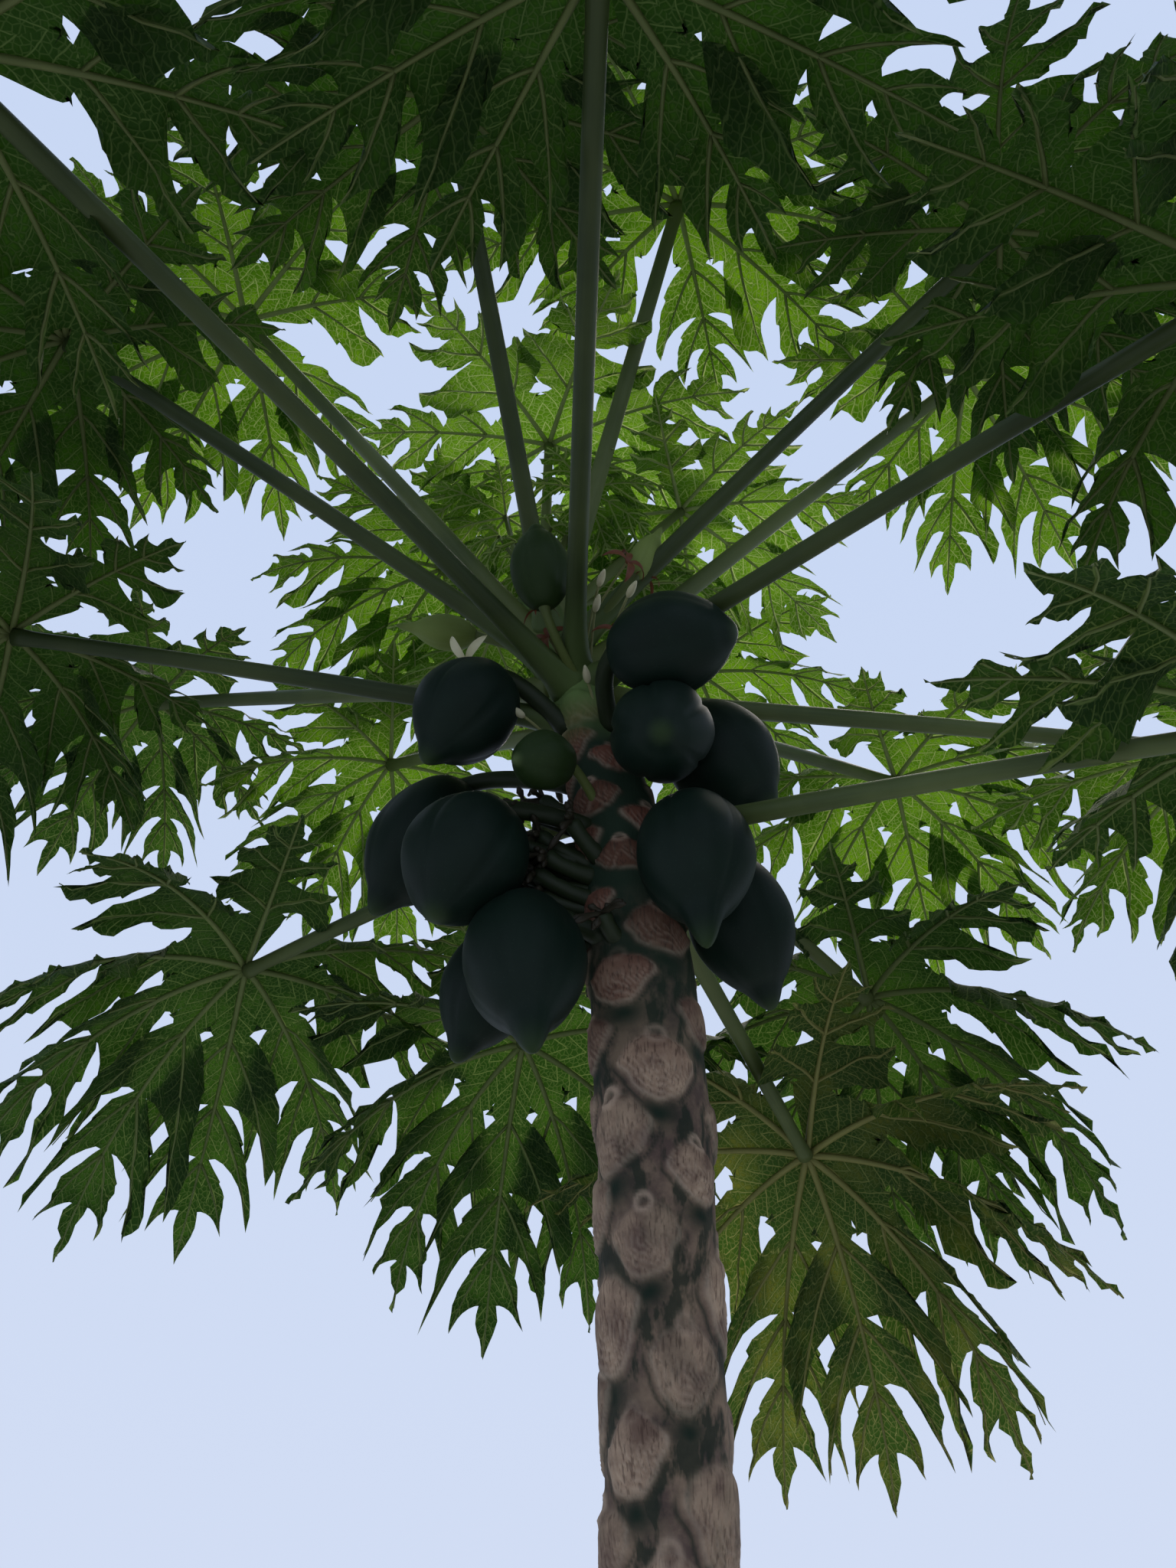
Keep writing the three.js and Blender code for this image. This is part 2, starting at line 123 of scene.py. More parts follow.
def makeStudio():
    bm = bmesh.new()
    bmesh.ops.create_circle(
        bm, cap_ends=True, radius=studio["floorRadius"], segments=studio["floorSides"])
    mesh = bpy.data.meshes.new("floor")
    bm.to_mesh(mesh)
    bm.free()
    mesh.materials.append(backdropPaper())
    floor = bpy.data.objects.new("floor", mesh)
    bpy.context.collection.objects.link(floor)

    # A plain pale sky, a little deeper towards the floor
    world = bpy.data.worlds.new("studio")
    bpy.context.scene.world = world
    world.use_nodes = True
    tree = world.node_tree
    back = tree.nodes["Background"]
    direction = addNode(tree, "TexCoord").outputs["Generated"]
    height = addNode(tree, "SeparateXYZ", {0: direction}).outputs["Z"]
    share = addNode(tree, "MapRange", {
        "Value": height, "From Min": studio["skyFrom"], "From Max": studio["skyTo"]}).outputs[0]
    sky = addNode(tree, "Mix", {0: share, 6: studio["skyLow"], 7: studio["skyTop"]},
                  data_type="RGBA").outputs[2]
    tree.links.new(sky, back.inputs["Color"])
    back.inputs["Strength"].default_value = studio["skyStrength"]

    lamp = bpy.data.lights.new("soft_lamp", "AREA")
    lamp.shape = "DISK"
    lamp.size = studio["lampSize"]
    lamp.energy = studio["lampPower"]
    lamp.color = colourOf(studio["lampColour"])[:3]
    holder = bpy.data.objects.new("soft_lamp", lamp)
    holder.location = studio["lampPlace"]
    holder.rotation_euler = [math.radians(turn) for turn in studio["lampTilt"]]
    bpy.context.collection.objects.link(holder)
    bpy.context.scene.view_settings.view_transform = "Standard"


# Mesh helpers

mergeWithin = 1e-6  # vertices nearer than this become one


def heading(bearing, rise=0.0):
    bearing, rise = np.broadcast_arrays(np.radians(bearing), np.radians(rise))
    level = np.cos(rise)
    return np.stack([level * np.cos(bearing), level * np.sin(bearing), np.sin(rise)], -1)


def smoothstep(low, high, value):
    share = np.clip((value - low) / (high - low), 0, 1)
    return share * share * (3 - 2 * share)


def newMesh(*marks):
    bm = bmesh.new()
    bm.loops.layers.uv.new("veins")
    for mark in marks:
        bm.verts.layers.float.new(mark)
    return bm


# A grid skin whose vertices go to places[row, column]. Each face takes its UV from one of the
# maps, the one that pick names for it. Marks are values kept at the vertices for the material.
def addSkin(bm, places, maps=(), pick=None, material=0, marks=None):
    rows, columns = places.shape[:2]
    verts = bmesh.ops.create_grid(bm, x_segments=rows - 1, y_segments=columns - 1, size=0.5)["verts"]
    cell = {}
    for vert in verts:
        row, column = round((vert.co.x + 0.5) * (rows - 1)), round((vert.co.y + 0.5) * (columns - 1))
        cell[vert] = (row, column)
        vert.co = places[row, column]
        for name, values in (marks or {}).items():
            vert[bm.verts.layers.float[name]] = values[row, column]
    layer = bm.loops.layers.uv["veins"]
    for face in {face for vert in verts for face in vert.link_faces}:
        face.smooth = True
        face.material_index = material
        if maps:
            row, column = min(cell[vert] for vert in face.verts)
            chosen = maps[0 if pick is None else pick[row, column]]
            for loop in face.loops:
                loop[layer].uv = chosen[cell[loop.vert]]
    return verts


# A round limb along points, closed at both ends. Across is a direction square to it, in which
# flat widens it.
def addLimb(bm, points, radii, sides, across, material=0, flat=1.0):
    points, radii = np.asarray(points, float), np.asarray(radii, float)
    tangent = np.gradient(points, axis=0)
    tangent /= np.linalg.norm(tangent, axis=1)[:, None]
    across = np.broadcast_to(across, points.shape)
    across = across - tangent * np.sum(tangent * across, axis=1)[:, None]
    across /= np.linalg.norm(across, axis=1)[:, None]
    other = np.cross(across, tangent)
    rings = np.concatenate([[0], np.arange(len(points)), [len(points) - 1]])
    closed = np.ones(len(rings))
    closed[[0, -1]] = 0
    wide, tall = (radii * flat)[rings] * closed, radii[rings] * closed
    turn = np.linspace(0, 2 * math.pi, sides + 1)
    places = (
        points[rings, None]
        + across[rings, None] * (np.cos(turn) * wide[:, None])[..., None]
        + other[rings, None] * (np.sin(turn) * tall[:, None])[..., None])
    length = np.concatenate([[0], np.cumsum(np.linalg.norm(np.diff(points, axis=0), axis=1))])[rings]
    around = np.linspace(0, 2 * math.pi * float(radii.mean()), sides + 1)
    verts = addSkin(bm, places, [np.stack(np.meshgrid(around, length), -1)], material=material)
    bmesh.ops.remove_doubles(bm, verts=verts, dist=mergeWithin)


def bendThrough(start, middle, end, steps):
    share = np.linspace(0, 1, steps)[:, None]
    return start * (1 - share) ** 2 + middle * 2 * share * (1 - share) + end * share ** 2


def finishPiece(bm, name, materials, slot, *nodes):
    mesh = bpy.data.meshes.new(name)
    bm.to_mesh(mesh)
    bm.free()
    for material in materials:
        mesh.materials.append(material)
    piece = bpy.data.objects.new(name, mesh)
    bpy.context.collection.objects.link(piece)
    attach(piece, "root")
    if nodes:
        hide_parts(*nodes)
    return piece


# Trunk

trunk = {
    "crownHeight": 2.754,
    "tipHeight": 2.890,
    "lean": 0.450,
    "leanPower": 1.8,
    "lowDrift": 0.015,
    "topBend": 0.112,
    "topBendPower": 10,
    "heights": [0, 0.06, 0.15, 0.35, 1.2, 1.72, 2.205, 2.326, 2.52, 2.68, 2.79, 2.85, 2.89],
    "radii": [0.104, 0.092, 0.082, 0.074, 0.067, 0.066, 0.070, 0.068, 0.054, 0.050, 0.044, 0.031, 0.015],
    "sides": 132,
    "lowRings": 190,
    "highRings": 500,
    "fineFrom": 1.1,
    "inset": 0.0015,  # the skin between the scars lies this far inside the radii
    "swells": [(0.0016, 5, 9), (0.0012, 3, -23)],  # depth, and waves round and up the stem
    "flareRidge": 0.005,
    "flareRidges": 7,
    "flareHeight": 0.10,
    "footFade": (0, 0.02),
    "tipFade": (2.86, 2.78),
}

# Leaf scars: a shield with two wings, and the round mark of a bud above it
scars = {
    "turn": 137.5,
    "turnStray": 11,
    "sizeStray": 0.16,
    "lowGap": 0.030,
    "topGap": 0.015,
    "first": 0.03,
    "last": 2.70,
    "tallest": 0.11,  # none reaches further up or down
    "lift": 0.0060,
    "wing": (0.047, 0.023),
    "wingRise": 0.004,
    "wingSlope": 0.2,
    "shield": (0.038, 0.040),
    "shieldDrop": 0.014,
    "blend": 7,  # how sharply the wings and the shield meet
    "slopes": (0.16, 0.40),  # how far in the edge slopes, on the low side and on top
    "groove": 0.0009,
    "arcs": 38,
    "arcLift": 0.0005,
    "shadeBelow": (0.030, 0.020),  # the painted shade below a scar, and how far down its middle is
    "shadeBelowDrop": 0.064,
    "budRise": 0.024,
    "budRadius": 0.0095,
    "budLift": 0.0028,
    "budDip": 0.0010,
    "tallness": [(1.9, 1.2), (2.15, 0.95), (2.35, 0.72), (2.6, 0.6)],  # at heights on the stem
}

barkLooks = {
    # The green is the skin's own, and also the colour of the painted shade under the scars
    "green": "#16261c",
    "mauve": "#574741",
    "mauvePale": "#86725f",
    "upperGreen": "#243527",
    "scar": "#6e594c",
    "scarPale": "#a89079",
    "scarRed": "#714839",
    "crack": "#3f2b25",
    # The scar's pale rim, brightened into a painted highlight
    "rimAndHighlight": "#d6c2aa",
    "bud": "#bba48e",
    "top": "#667f48",
    "fruitZone": (2.15, 2.42),  # heights over which the bark turns to the look among the fruit
    "topZone": (2.62, 2.69),  # and then to the tip's
}


def stemAxis(height):
    height = np.asarray(height, float)
    share = height / trunk["crownHeight"]
    x = trunk["lowDrift"] * share - trunk["topBend"] * share ** trunk["topBendPower"]
    return np.stack([x, -trunk["lean"] * share ** trunk["leanPower"], height], -1)


def stemRadius(height):
    return np.interp(height, trunk["heights"], trunk["radii"])


# Where the leaf scars lie: one by one up the stem, each a golden turn round from the last
def scarPlaces():
    height, k = scars["first"], 0
    while height < scars["last"]:
        bearing = k * scars["turn"] + scars["turnStray"] * math.sin(k * 2.4)
        yield height, bearing, 1 + scars["sizeStray"] * math.sin(k * 1.7)
        share = height / scars["last"]
        height += scars["lowGap"] + (scars["topGap"] - scars["lowGap"]) * share ** 3
        k += 1


# How far the bark stands out at each turn and height, and how much of it is scar, pale rim with a
# painted highlight, bud, and painted shade right under a scar and along its low edge
def barkRelief(turn, height):
    radius = stemRadius(height)
    wingWide, wingTall = scars["wing"]
    shieldWide, shieldTall = scars["shield"]
    shadeBelowWide, shadeBelowTall = scars["shadeBelow"]
    blend = scars["blend"]
    lift, scar, rimAndHighlight, bud, gap = [np.zeros_like(height) for _ in range(5)]
    for k, (middle, bearing, size) in enumerate(scarPlaces()):
        rows = np.abs(height[:, 0] - middle) < scars["tallest"]
        x = np.radians((np.degrees(turn[rows]) - bearing + 180) % 360 - 180) * radius[rows] / size
        y = (height[rows] - middle) / size / np.interp(middle, *zip(*scars["tallness"]))
        away = np.sqrt(x ** 2 + (y - scars["budRise"]) ** 2)

        # The outline wavers by 2 mm, with finer waves of under 1 mm
        skewed = x + 0.0022 * np.sin(y * 80 + k * 2.1) + 0.0007 * np.sin(y * 240 + k)
        y = y + 0.0020 * np.sin(x * 90 + k * 1.3) + 0.0006 * np.sin(x * 290 + k * 3)

        # Inside is 0 on the outline and grows to the middle
        fromWing = (y - scars["wingRise"] + scars["wingSlope"] * np.abs(x)) / wingTall
        wing = 1 - np.sqrt((skewed / wingWide) ** 2 + fromWing ** 2)
        shield = 1 - np.sqrt((skewed / shieldWide) ** 2 + ((y + scars["shieldDrop"]) / shieldTall) ** 2)
        inside = np.log(np.exp(blend * wing) + np.exp(blend * shield)) / blend
        plate = smoothstep(0, 1, inside / np.where(y < 0, *scars["slopes"]))
        groove = np.exp(-((inside - 0.24) / 0.06) ** 2) * (y < 0.01)
        stand = plate * scars["lift"] * (0.7 + 0.6 * np.clip(inside, 0, 1)) - scars["groove"] * groove
        lift[rows] = np.maximum(lift[rows], stand)
        stain = smoothstep(-0.06, 0.30, inside) * (0.82 + 0.18 * math.sin(k * 5.1))
        scar[rows] = np.maximum(scar[rows], stain)
        # A pale rim brightened into a painted highlight, strongest along the low edge; the arcs are the
        # scar's own rings
        edge = np.exp(-((inside - 0.10) / 0.06) ** 2) * np.where(y < 0.004, 0.62, 0.22)
        arcs = plate * np.sin(inside * scars["arcs"] + k) * smoothstep(0.01, -0.02, y)
        lift[rows] += scars["arcLift"] * arcs
        rimAndHighlight[rows] = np.maximum(rimAndHighlight[rows], np.maximum(edge, 0.24 * arcs))
        # Painted shade: dark green right under the scar, and a dark crease just outside its low edge
        under = np.exp(-(skewed / shadeBelowWide) ** 2 - ((y + scars["shadeBelowDrop"]) / shadeBelowTall) ** 2)
        creaseShade = 0.75 * np.exp(-((inside + 0.09) / 0.06) ** 2) * smoothstep(0.01, -0.01, y)
        gap[rows] = np.maximum(gap[rows], np.maximum(under, creaseShade))

        # A raised ring round a shallow dip marks the bud, plainer on some scars than on others
        strong = 0.55 + 0.45 * math.sin(k * 2.7)
        lift[rows] += scars["budLift"] * strong * np.exp(-((away - scars["budRadius"]) / 0.003) ** 2)
        lift[rows] -= scars["budDip"] * strong * (away < scars["budRadius"] * 0.7)
        ring = 0.8 * strong * np.exp(-((away - scars["budRadius"]) / 0.0035) ** 2)
        bud[rows] = np.maximum(bud[rows], ring)
    return lift, scar, rimAndHighlight, bud, gap


# Papaya bark: soft corky leaf scars with hairline upright cracks and a painted highlight on their
# rims, over smooth mauve-brown skin with painted shade, in dark green, right under each scar
def papayaBark():
    looks = barkLooks
    material, tree, surface = startMaterial("papaya_bark", 0.8, 0.2)
    marks = ("scar", "rimAndHighlight", "bud", "gap")
    scar, rimAndHighlight, bud, gap = [
        addNode(tree, "Attribute", attribute_name=mark).outputs["Fac"] for mark in marks]
    place = addNode(tree, "TexCoord").outputs["Object"]
    height = addNode(tree, "SeparateXYZ", {0: place}).outputs["Z"]
    fruitZone, topZone = [
        addNode(tree, "MapRange", {"Value": height, "From Min": low, "From Max": high}).outputs[0]
        for low, high in (looks["fruitZone"], looks["topZone"])]

    # Green places 3 cm wide, mottling of 4 to 5 cm, cracks 3 mm apart and corky grain of 4 mm
    drawn = addNode(tree, "VectorMath", {0: place, 1: (1, 1, 0.4)}, operation="MULTIPLY").outputs[0]
    wide = addNode(tree, "TexNoise", {
        "Vector": drawn, "Scale": 34, "Detail": 4, "Roughness": 0.6}).outputs[0]
    cloud = addNode(tree, "TexNoise", {
        "Vector": place, "Scale": 22, "Detail": 5, "Roughness": 0.6}).outputs[0]
    upright = addNode(tree, "VectorMath", {0: place, 1: (1, 1, 0.06)}, operation="MULTIPLY").outputs[0]
    fine = addNode(tree, "TexNoise", {"Vector": upright, "Scale": 330, "Detail": 3}).outputs[0]
    grain = addNode(tree, "TexNoise", {"Vector": place, "Scale": 260, "Detail": 3}).outputs[0]
    mottle = addNode(tree, "MapRange", {"Value": cloud, "From Min": 0.38, "From Max": 0.62}).outputs[0]
    patch = addNode(tree, "MapRange", {
        "Value": wide, "From Min": 0.47, "From Max": 0.57, "To Max": 0.85}).outputs[0]
    # Dark places: the skin's own green places, and the painted shade under the scars
    dark = addNode(tree, "Math", {0: gap, 1: patch}, operation="MAXIMUM").outputs[0]
    crack = addNode(tree, "MapRange", {
        "Value": fine, "From Min": 0.36, "From Max": 0.48, "To Min": 0.6, "To Max": 0}).outputs[0]

    # Between the scars: mottled mauve-brown skin with dark green places, and painted shade under the
    # scars
    skin = looks["mauve"]
    for share, colour in ((mottle, looks["mauvePale"]), (dark, looks["green"]),
                          (fruitZone, looks["upperGreen"])):
        skin = addNode(tree, "Mix", {0: share, 6: skin, 7: colour}, data_type="RGBA").outputs[2]

    # On the scars: taupe cork, redder among the fruit, with faint hairline cracks and a painted
    # highlight on the rim
    cork = looks["scar"]
    for share, colour in ((mottle, looks["scarPale"]), (fruitZone, looks["scarRed"]),
                          (crack, looks["crack"]), (rimAndHighlight, looks["rimAndHighlight"])):
        cork = addNode(tree, "Mix", {0: share, 6: cork, 7: colour}, data_type="RGBA").outputs[2]

    whole = skin
    for share, colour in ((scar, cork), (bud, looks["bud"]), (topZone, looks["top"])):
        whole = addNode(tree, "Mix", {0: share, 6: whole, 7: colour}, data_type="RGBA").outputs[2]

    rough = addNode(tree, "Math", {0: grain, 1: 0.35}, operation="MULTIPLY").outputs[0]
    relief = addNode(tree, "Math", {0: fine, 1: rough}, operation="ADD").outputs[0]
    bump = addNode(tree, "Bump", {"Height": relief, "Strength": 0.6, "Distance": 0.0012}).outputs[0]
    tree.links.new(whole, surface.inputs["Base Color"])
    tree.links.new(bump, surface.inputs["Normal"])
    return material


def makeTrunk():
    low = np.linspace(0, trunk["fineFrom"], trunk["lowRings"], endpoint=False)
    high = np.linspace(trunk["fineFrom"], trunk["tipHeight"], trunk["highRings"])
    level = np.concatenate([[0], low, high, [trunk["tipHeight"]]])
    height, turn = np.meshgrid(level, np.linspace(2 * math.pi, 0, trunk["sides"] + 1), indexing="ij")
    # The rim mark carries a painted highlight, and the gap mark painted shade under the scars
    lift, scar, rimAndHighlight, bud, gap = barkRelief(turn, height)
    fade = smoothstep(*trunk["footFade"], height) * smoothstep(*trunk["tipFade"], height)
    swell = sum(
        depth * np.sin(turn * around + height * rise) for depth, around, rise in trunk["swells"])
    ridges = trunk["flareRidge"] * np.sin(turn * trunk["flareRidges"] + 2 * np.sin(turn * 2))
    ridges *= np.exp(-height / trunk["flareHeight"])
    radius = stemRadius(height) - trunk["inset"] + fade * (lift + swell) + ridges
    radius[[0, -1]] = 0
    places = stemAxis(height) + heading(np.degrees(turn)) * radius[..., None]
    bm = newMesh("scar", "rimAndHighlight", "bud", "gap")
    verts = addSkin(bm, places, marks={"scar": scar, "rimAndHighlight": rimAndHighlight, "bud": bud, "gap": gap})
    bmesh.ops.remove_doubles(bm, verts=verts, dist=mergeWithin)
    finishPiece(bm, "trunk_bark", [papayaBark()], "bark", "trunk")


# Stalks

stalkShape = {
    "outer": 0.0105,
    "inner": 0.014,
    "flare": 0.014,
    "flareLength": 0.055,
    "arch": 0.015,
    "collar": 0.0022,
    "collarAt": (0.955, 0.995),  # shares of the stalk over which it thickens under the blade
    "footFlat": 0.22,  # the foot is so much wider than tall
    "footFlatLength": 0.05,
    "seatGap": 0.002,
    "sides": 24,
    "steps": 60,
    "ridgeGap": 0.003,
    "footColour": (0.02, 0.16),  # metres over which the foot's colour fades
}

stalkLooks = {
    # Stalks of leaves in shade take a painted shaded copy of the skin; the next look is a painted lit
    # copy for the other leaves' stalks, and the own paler skin of young leaves and small fruit
    "shaded": {"skin": "#324020", "streak": "#243017", "bloom": "#414d28", "foot": "#56693a"},
    "new": {"skin": "#4b5931", "streak": "#3a4726", "bloom": "#5f6b3e", "foot": "#626f3a"},
    "fruit": {"skin": "#25311c", "streak": "#1a2414", "bloom": "#2d3a22", "foot": "#27311d"},
    "dry": {"skin": "#2f2722", "streak": "#1f1b18", "bloom": "#3d312a", "foot": "#2f2c20"},
}


# Leaf stalk skin: satin green with a grey wax bloom and fine lengthwise ridges, 3 mm apart, which
# is about twice as coarse as life so that they show
def stalkSkin(name, looks):
    material, tree, surface = startMaterial(name, 0.5, 0.25)
    uv = addNode(tree, "UVMap", uv_map="veins").outputs["UV"]
    along = addNode(tree, "SeparateXYZ", {0: uv}).outputs["Y"]
    drawn = addNode(tree, "VectorMath", {0: uv, 1: (1, 0.04, 1)}, operation="MULTIPLY").outputs[0]
    streak = addNode(tree, "TexNoise", {
        "Vector": drawn, "Scale": 1 / stalkShape["ridgeGap"], "Detail": 3}).outputs[0]
    place = addNode(tree, "TexCoord").outputs["Object"]
    cloud = addNode(tree, "TexNoise", {"Vector": place, "Scale": 5, "Detail": 4}).outputs[0]
    bloom = addNode(tree, "MapRange", {"Value": cloud, "From Min": 0.4, "From Max": 0.7}).outputs[0]
    near, far = stalkShape["footColour"]
    foot = addNode(tree, "MapRange", {
        "Value": along, "From Min": near, "From Max": far, "To Min": 1, "To Max": 0}).outputs[0]
    whole = looks["skin"]
    for share, colour in ((streak, looks["streak"]), (bloom, looks["bloom"]), (foot, looks["foot"])):
        whole = addNode(tree, "Mix", {0: share, 6: whole, 7: colour}, data_type="RGBA").outputs[2]
    bump = addNode(tree, "Bump", {"Height": streak, "Strength": 0.35, "Distance": 0.0008}).outputs[0]
    tree.links.new(whole, surface.inputs["Base Color"])
    tree.links.new(bump, surface.inputs["Normal"])
    return material


def hubOf(leaf):
    return stemAxis(leaf["foot"]) + heading(leaf["bearing"], leaf["rise"]) * leaf["stalk"]


# A stalk whose end stays seatGap under the blade's hub, measured square to the blade
def addStalk(bm, leaf, girth, seatGap, material=0):
    foot = stemAxis(leaf["foot"]) + heading(leaf["bearing"]) * stemRadius(leaf["foot"]) / 2
    bladeUp = heading(leaf["bearing"], leaf["pitch"] + 90)
    slope = leaf["hub"] - foot
    slope = slope / np.linalg.norm(slope)
    topEdge = math.sqrt(1 - float(slope @ bladeUp) ** 2)
    fall = math.tan(math.radians(leaf["droop"] * 0.3)) * (1 - topEdge)
    under = seatGap + stalkShape["outer"] * girth * (topEdge + fall)
    end = leaf["hub"] - bladeUp * under
    middle = (foot + end) / 2 + up * stalkShape["arch"] * leaf["stalk"]
    share = np.linspace(0, 1, stalkShape["steps"])
    points = bendThrough(foot, middle, end, stalkShape["steps"])
    even = stalkShape["inner"] + (stalkShape["outer"] - stalkShape["inner"]) * share
    flare = stalkShape["flare"] * np.exp(-share / stalkShape["flareLength"])
    collar = stalkShape["collar"] * smoothstep(*stalkShape["collarAt"], share)
    radii = girth * (even + flare + collar)
    flat = 1 + stalkShape["footFlat"] * np.exp(-share / stalkShape["footFlatLength"])
    addLimb(bm, points, radii, stalkShape["sides"], heading(leaf["bearing"] + 90), material, flat)


# Leaf blades

leafShape = {
    "fullReach": 0.45,  # ribs and ripples are given for a blade of this reach
    "web": 0.165,  # the lobes are joined so far out, in shares of the reach
    "webRows": 8,
    "sinus": 1.39,  # the web's edge lies this much further out between two ribs
    "backWeb": (0.5, 0.075),  # behind the last lobe: how fast the web widens, and its limit
    "columns": [0, 0.05, 0.17, 0.36, 0.58, 0.80, 1],
    "fold": 23,
    "foldRound": 0.006,
    "backDroop": 0.6,
    "ribLean": 46,  # angle between a side rib and the midrib, at its root
    "ribRoot": 0.02,
    "ripple": 0.0055,
    "rippleLength": 0.062,
    "fineRipple": (0.6, 217),  # its height as a share of the ripple's, and radians per metre
    "tipCurl": 0.30,
    "curlAt": (0.10, 0.28),
    "midrib": (0.0050, 0.0010),
    "midribEnds": (0.004, 0.985),  # metres from the hub, and a share of the lobe
    "sideRib": (0.0026, 0.0006),
    "sideRibEnds": (0.01, 0.95),
    "ribSink": 0.7,  # a rib's middle lies so many of its radii under the blade
    "farAway": 9.0,  # metres to a side rib where there is none
    "mergeWithin": 2e-5,
}

# Lobes of a blade: turn from the front one, size, and which edge it has
fullLobes = [(0, 1, 2), (37, 0.99, 2), (74, 0.95, 2), (111, 0.87, 1), (147, 0.74, 1)]
youngLobes = [(0, 1, 1), (45, 0.93, 1), (92, 0.84, 1), (138, 0.7, 1)]
shootLobes = [(0, 1, 0), (60, 0.8, 0)]

# Side lobes of half a lobe, in shares of its length: where the neck before it is and how wide,
# where its tip is, its widest place, and the neck after it
sideLobes = {
    0: [(.27, .075, .60, .232, .212, .53, .080), (.53, .080, .82, .165, .150, .76, .052)],
    1: [(.26, .060, .62, .252, .242, .52, .034), (.52, .034, .82, .188, .182, .70, .030),
        (.70, .030, .89, .104, .098, .85, .030)],
    2: [(.26, .056, .61, .256, .244, .49, .027), (.49, .027, .805, .198, .190, .67, .025),
        (.67, .025, .88, .114, .106, .835, .029)],
}

# Edge of a side lobe. Outer: from its neck to its widest place, then on to the tip. Inner: from
# the tip back into the bay and to the next neck, with the share of the midrib passed by then.
outerEdge = [(.04, .13), (.10, .30), (.17, .49), (.23, .64), (.28, .61), (.35, .80), (.44, .92),
             (.51, .94), (.60, 1)]
towardsTip = [(.72, .10), (.82, .34), (.91, .64), (1, 1)]
innerEdge = [(.76, .91, .20), (.49, .80, .33), (.23, .68, .45), (.04, .53, .57), (-.07, .33, .70),
             (-.08, .13, .84), (0, 0, 1)]
lobeEnd = [(.12, 1.10), (.28, 1.12), (.45, .92), (.62, .62), (.78, .34), (.90, .14), (1, 0)]
webToNeck = [(.225, .070), (.237, .086), (.248, .062), (.262, .052)]


# The lobes on both sides, each a little out of true, so that no two blades are alike
def spreadLobes(lobes, rng):
    both = [(-turn, size, kind) for turn, size, kind in lobes[:0:-1]] + list(lobes)
    return [{
        "turn": turn + rng.uniform(-2.5, 2.5),
        "size": size * rng.uniform(0.95, 1.03),
        "kind": kind,
        "sway": rng.uniform(-0.05, 0.05),
        "fold": leafShape["fold"] + rng.uniform(-8, 6),
        "wave": rng.uniform(0, 6.28, 2),
        "edge": rng.uniform(0, 6.28, (2, 3)),
    } for turn, size, kind in both]


# How far out and how high a midrib has come, and its slope there
def bendAt(leaf, turn, length, along):
    forward = np.cos(np.radians(turn))
    droop = leafShape["backDroop"] + (1 - leafShape["backDroop"]) * (1 + forward) / 2
    bend = np.radians(leaf["droop"]) * droop
    start = np.radians(leaf["pitch"]) * forward
    now = start - bend * along / length
    out = (np.sin(start) - np.sin(now)) * length / bend
    return out, (np.cos(now) - np.cos(start)) * length / bend, now


# Places and upward directions on a lobe: along and aside are metres on the flat lobe, and margin
# is 0 at the midrib and 1 at the edge. Near the hub all lobes share one surface.
def bladeSurface(leaf, lobes, lobe, along, aside, margin):
    length = leaf["reach"] * lobe["size"]
    direction = leaf["bearing"] + leaf["yaw"]
    sinusAt = leafShape["web"] * leafShape["sinus"] * leaf["reach"]
    distance = np.hypot(along, aside)
    free = smoothstep(sinusAt, 1.5 * sinusAt, distance)[..., None]

    turn = lobe["turn"] + np.degrees(np.arctan2(aside, np.maximum(along, 1e-9)))
    size = np.interp(turn, [one["turn"] for one in lobes], [one["size"] for one in lobes])
    out, lift, now = bendAt(leaf, turn, leaf["reach"] * size, distance)
    web = heading(direction + turn) * out[..., None] + up * lift[..., None]
    webUp = up * np.cos(now)[..., None] - heading(direction + turn) * np.sin(now)[..., None]

    fold = math.radians(lobe["fold"])
    swayed = aside + lobe["sway"] * length * np.clip(along / length - 0.25, 0, 1) ** 2
    out, lift, now = bendAt(leaf, lobe["turn"], length, along)
    outward = heading(direction + lobe["turn"])
    lobeUp = up * np.cos(now)[..., None] - outward * np.sin(now)[..., None]
    wide = np.abs(aside) / length
    level = np.sqrt(aside ** 2 + leafShape["foldRound"] ** 2) - leafShape["foldRound"]
    curl = leafShape["tipCurl"] * np.abs(aside) * smoothstep(*leafShape["curlAt"], wide)
    drop = level * math.sin(fold) + curl
    side = np.where(aside > 0, lobe["wave"][0], lobe["wave"][1])
    fineHeight, fineTurn = leafShape["fineRipple"]
    wave = np.sin(along * 6.28 / leafShape["rippleLength"] + side)
    wave = wave + fineHeight * np.sin(along * fineTurn + 2 * side)
    wave = wave * leafShape["ripple"] * leaf["reach"] / leafShape["fullReach"] * margin ** 1.6
    place = (
        outward * out[..., None]
        + up * (lift - drop)[..., None]
        + heading(direction + lobe["turn"] + 90) * (swayed * math.cos(fold))[..., None]
        + lobeUp * wave[..., None])
    return leaf["hub"] + web * (1 - free) + place * free, webUp * (1 - free) + lobeUp * free


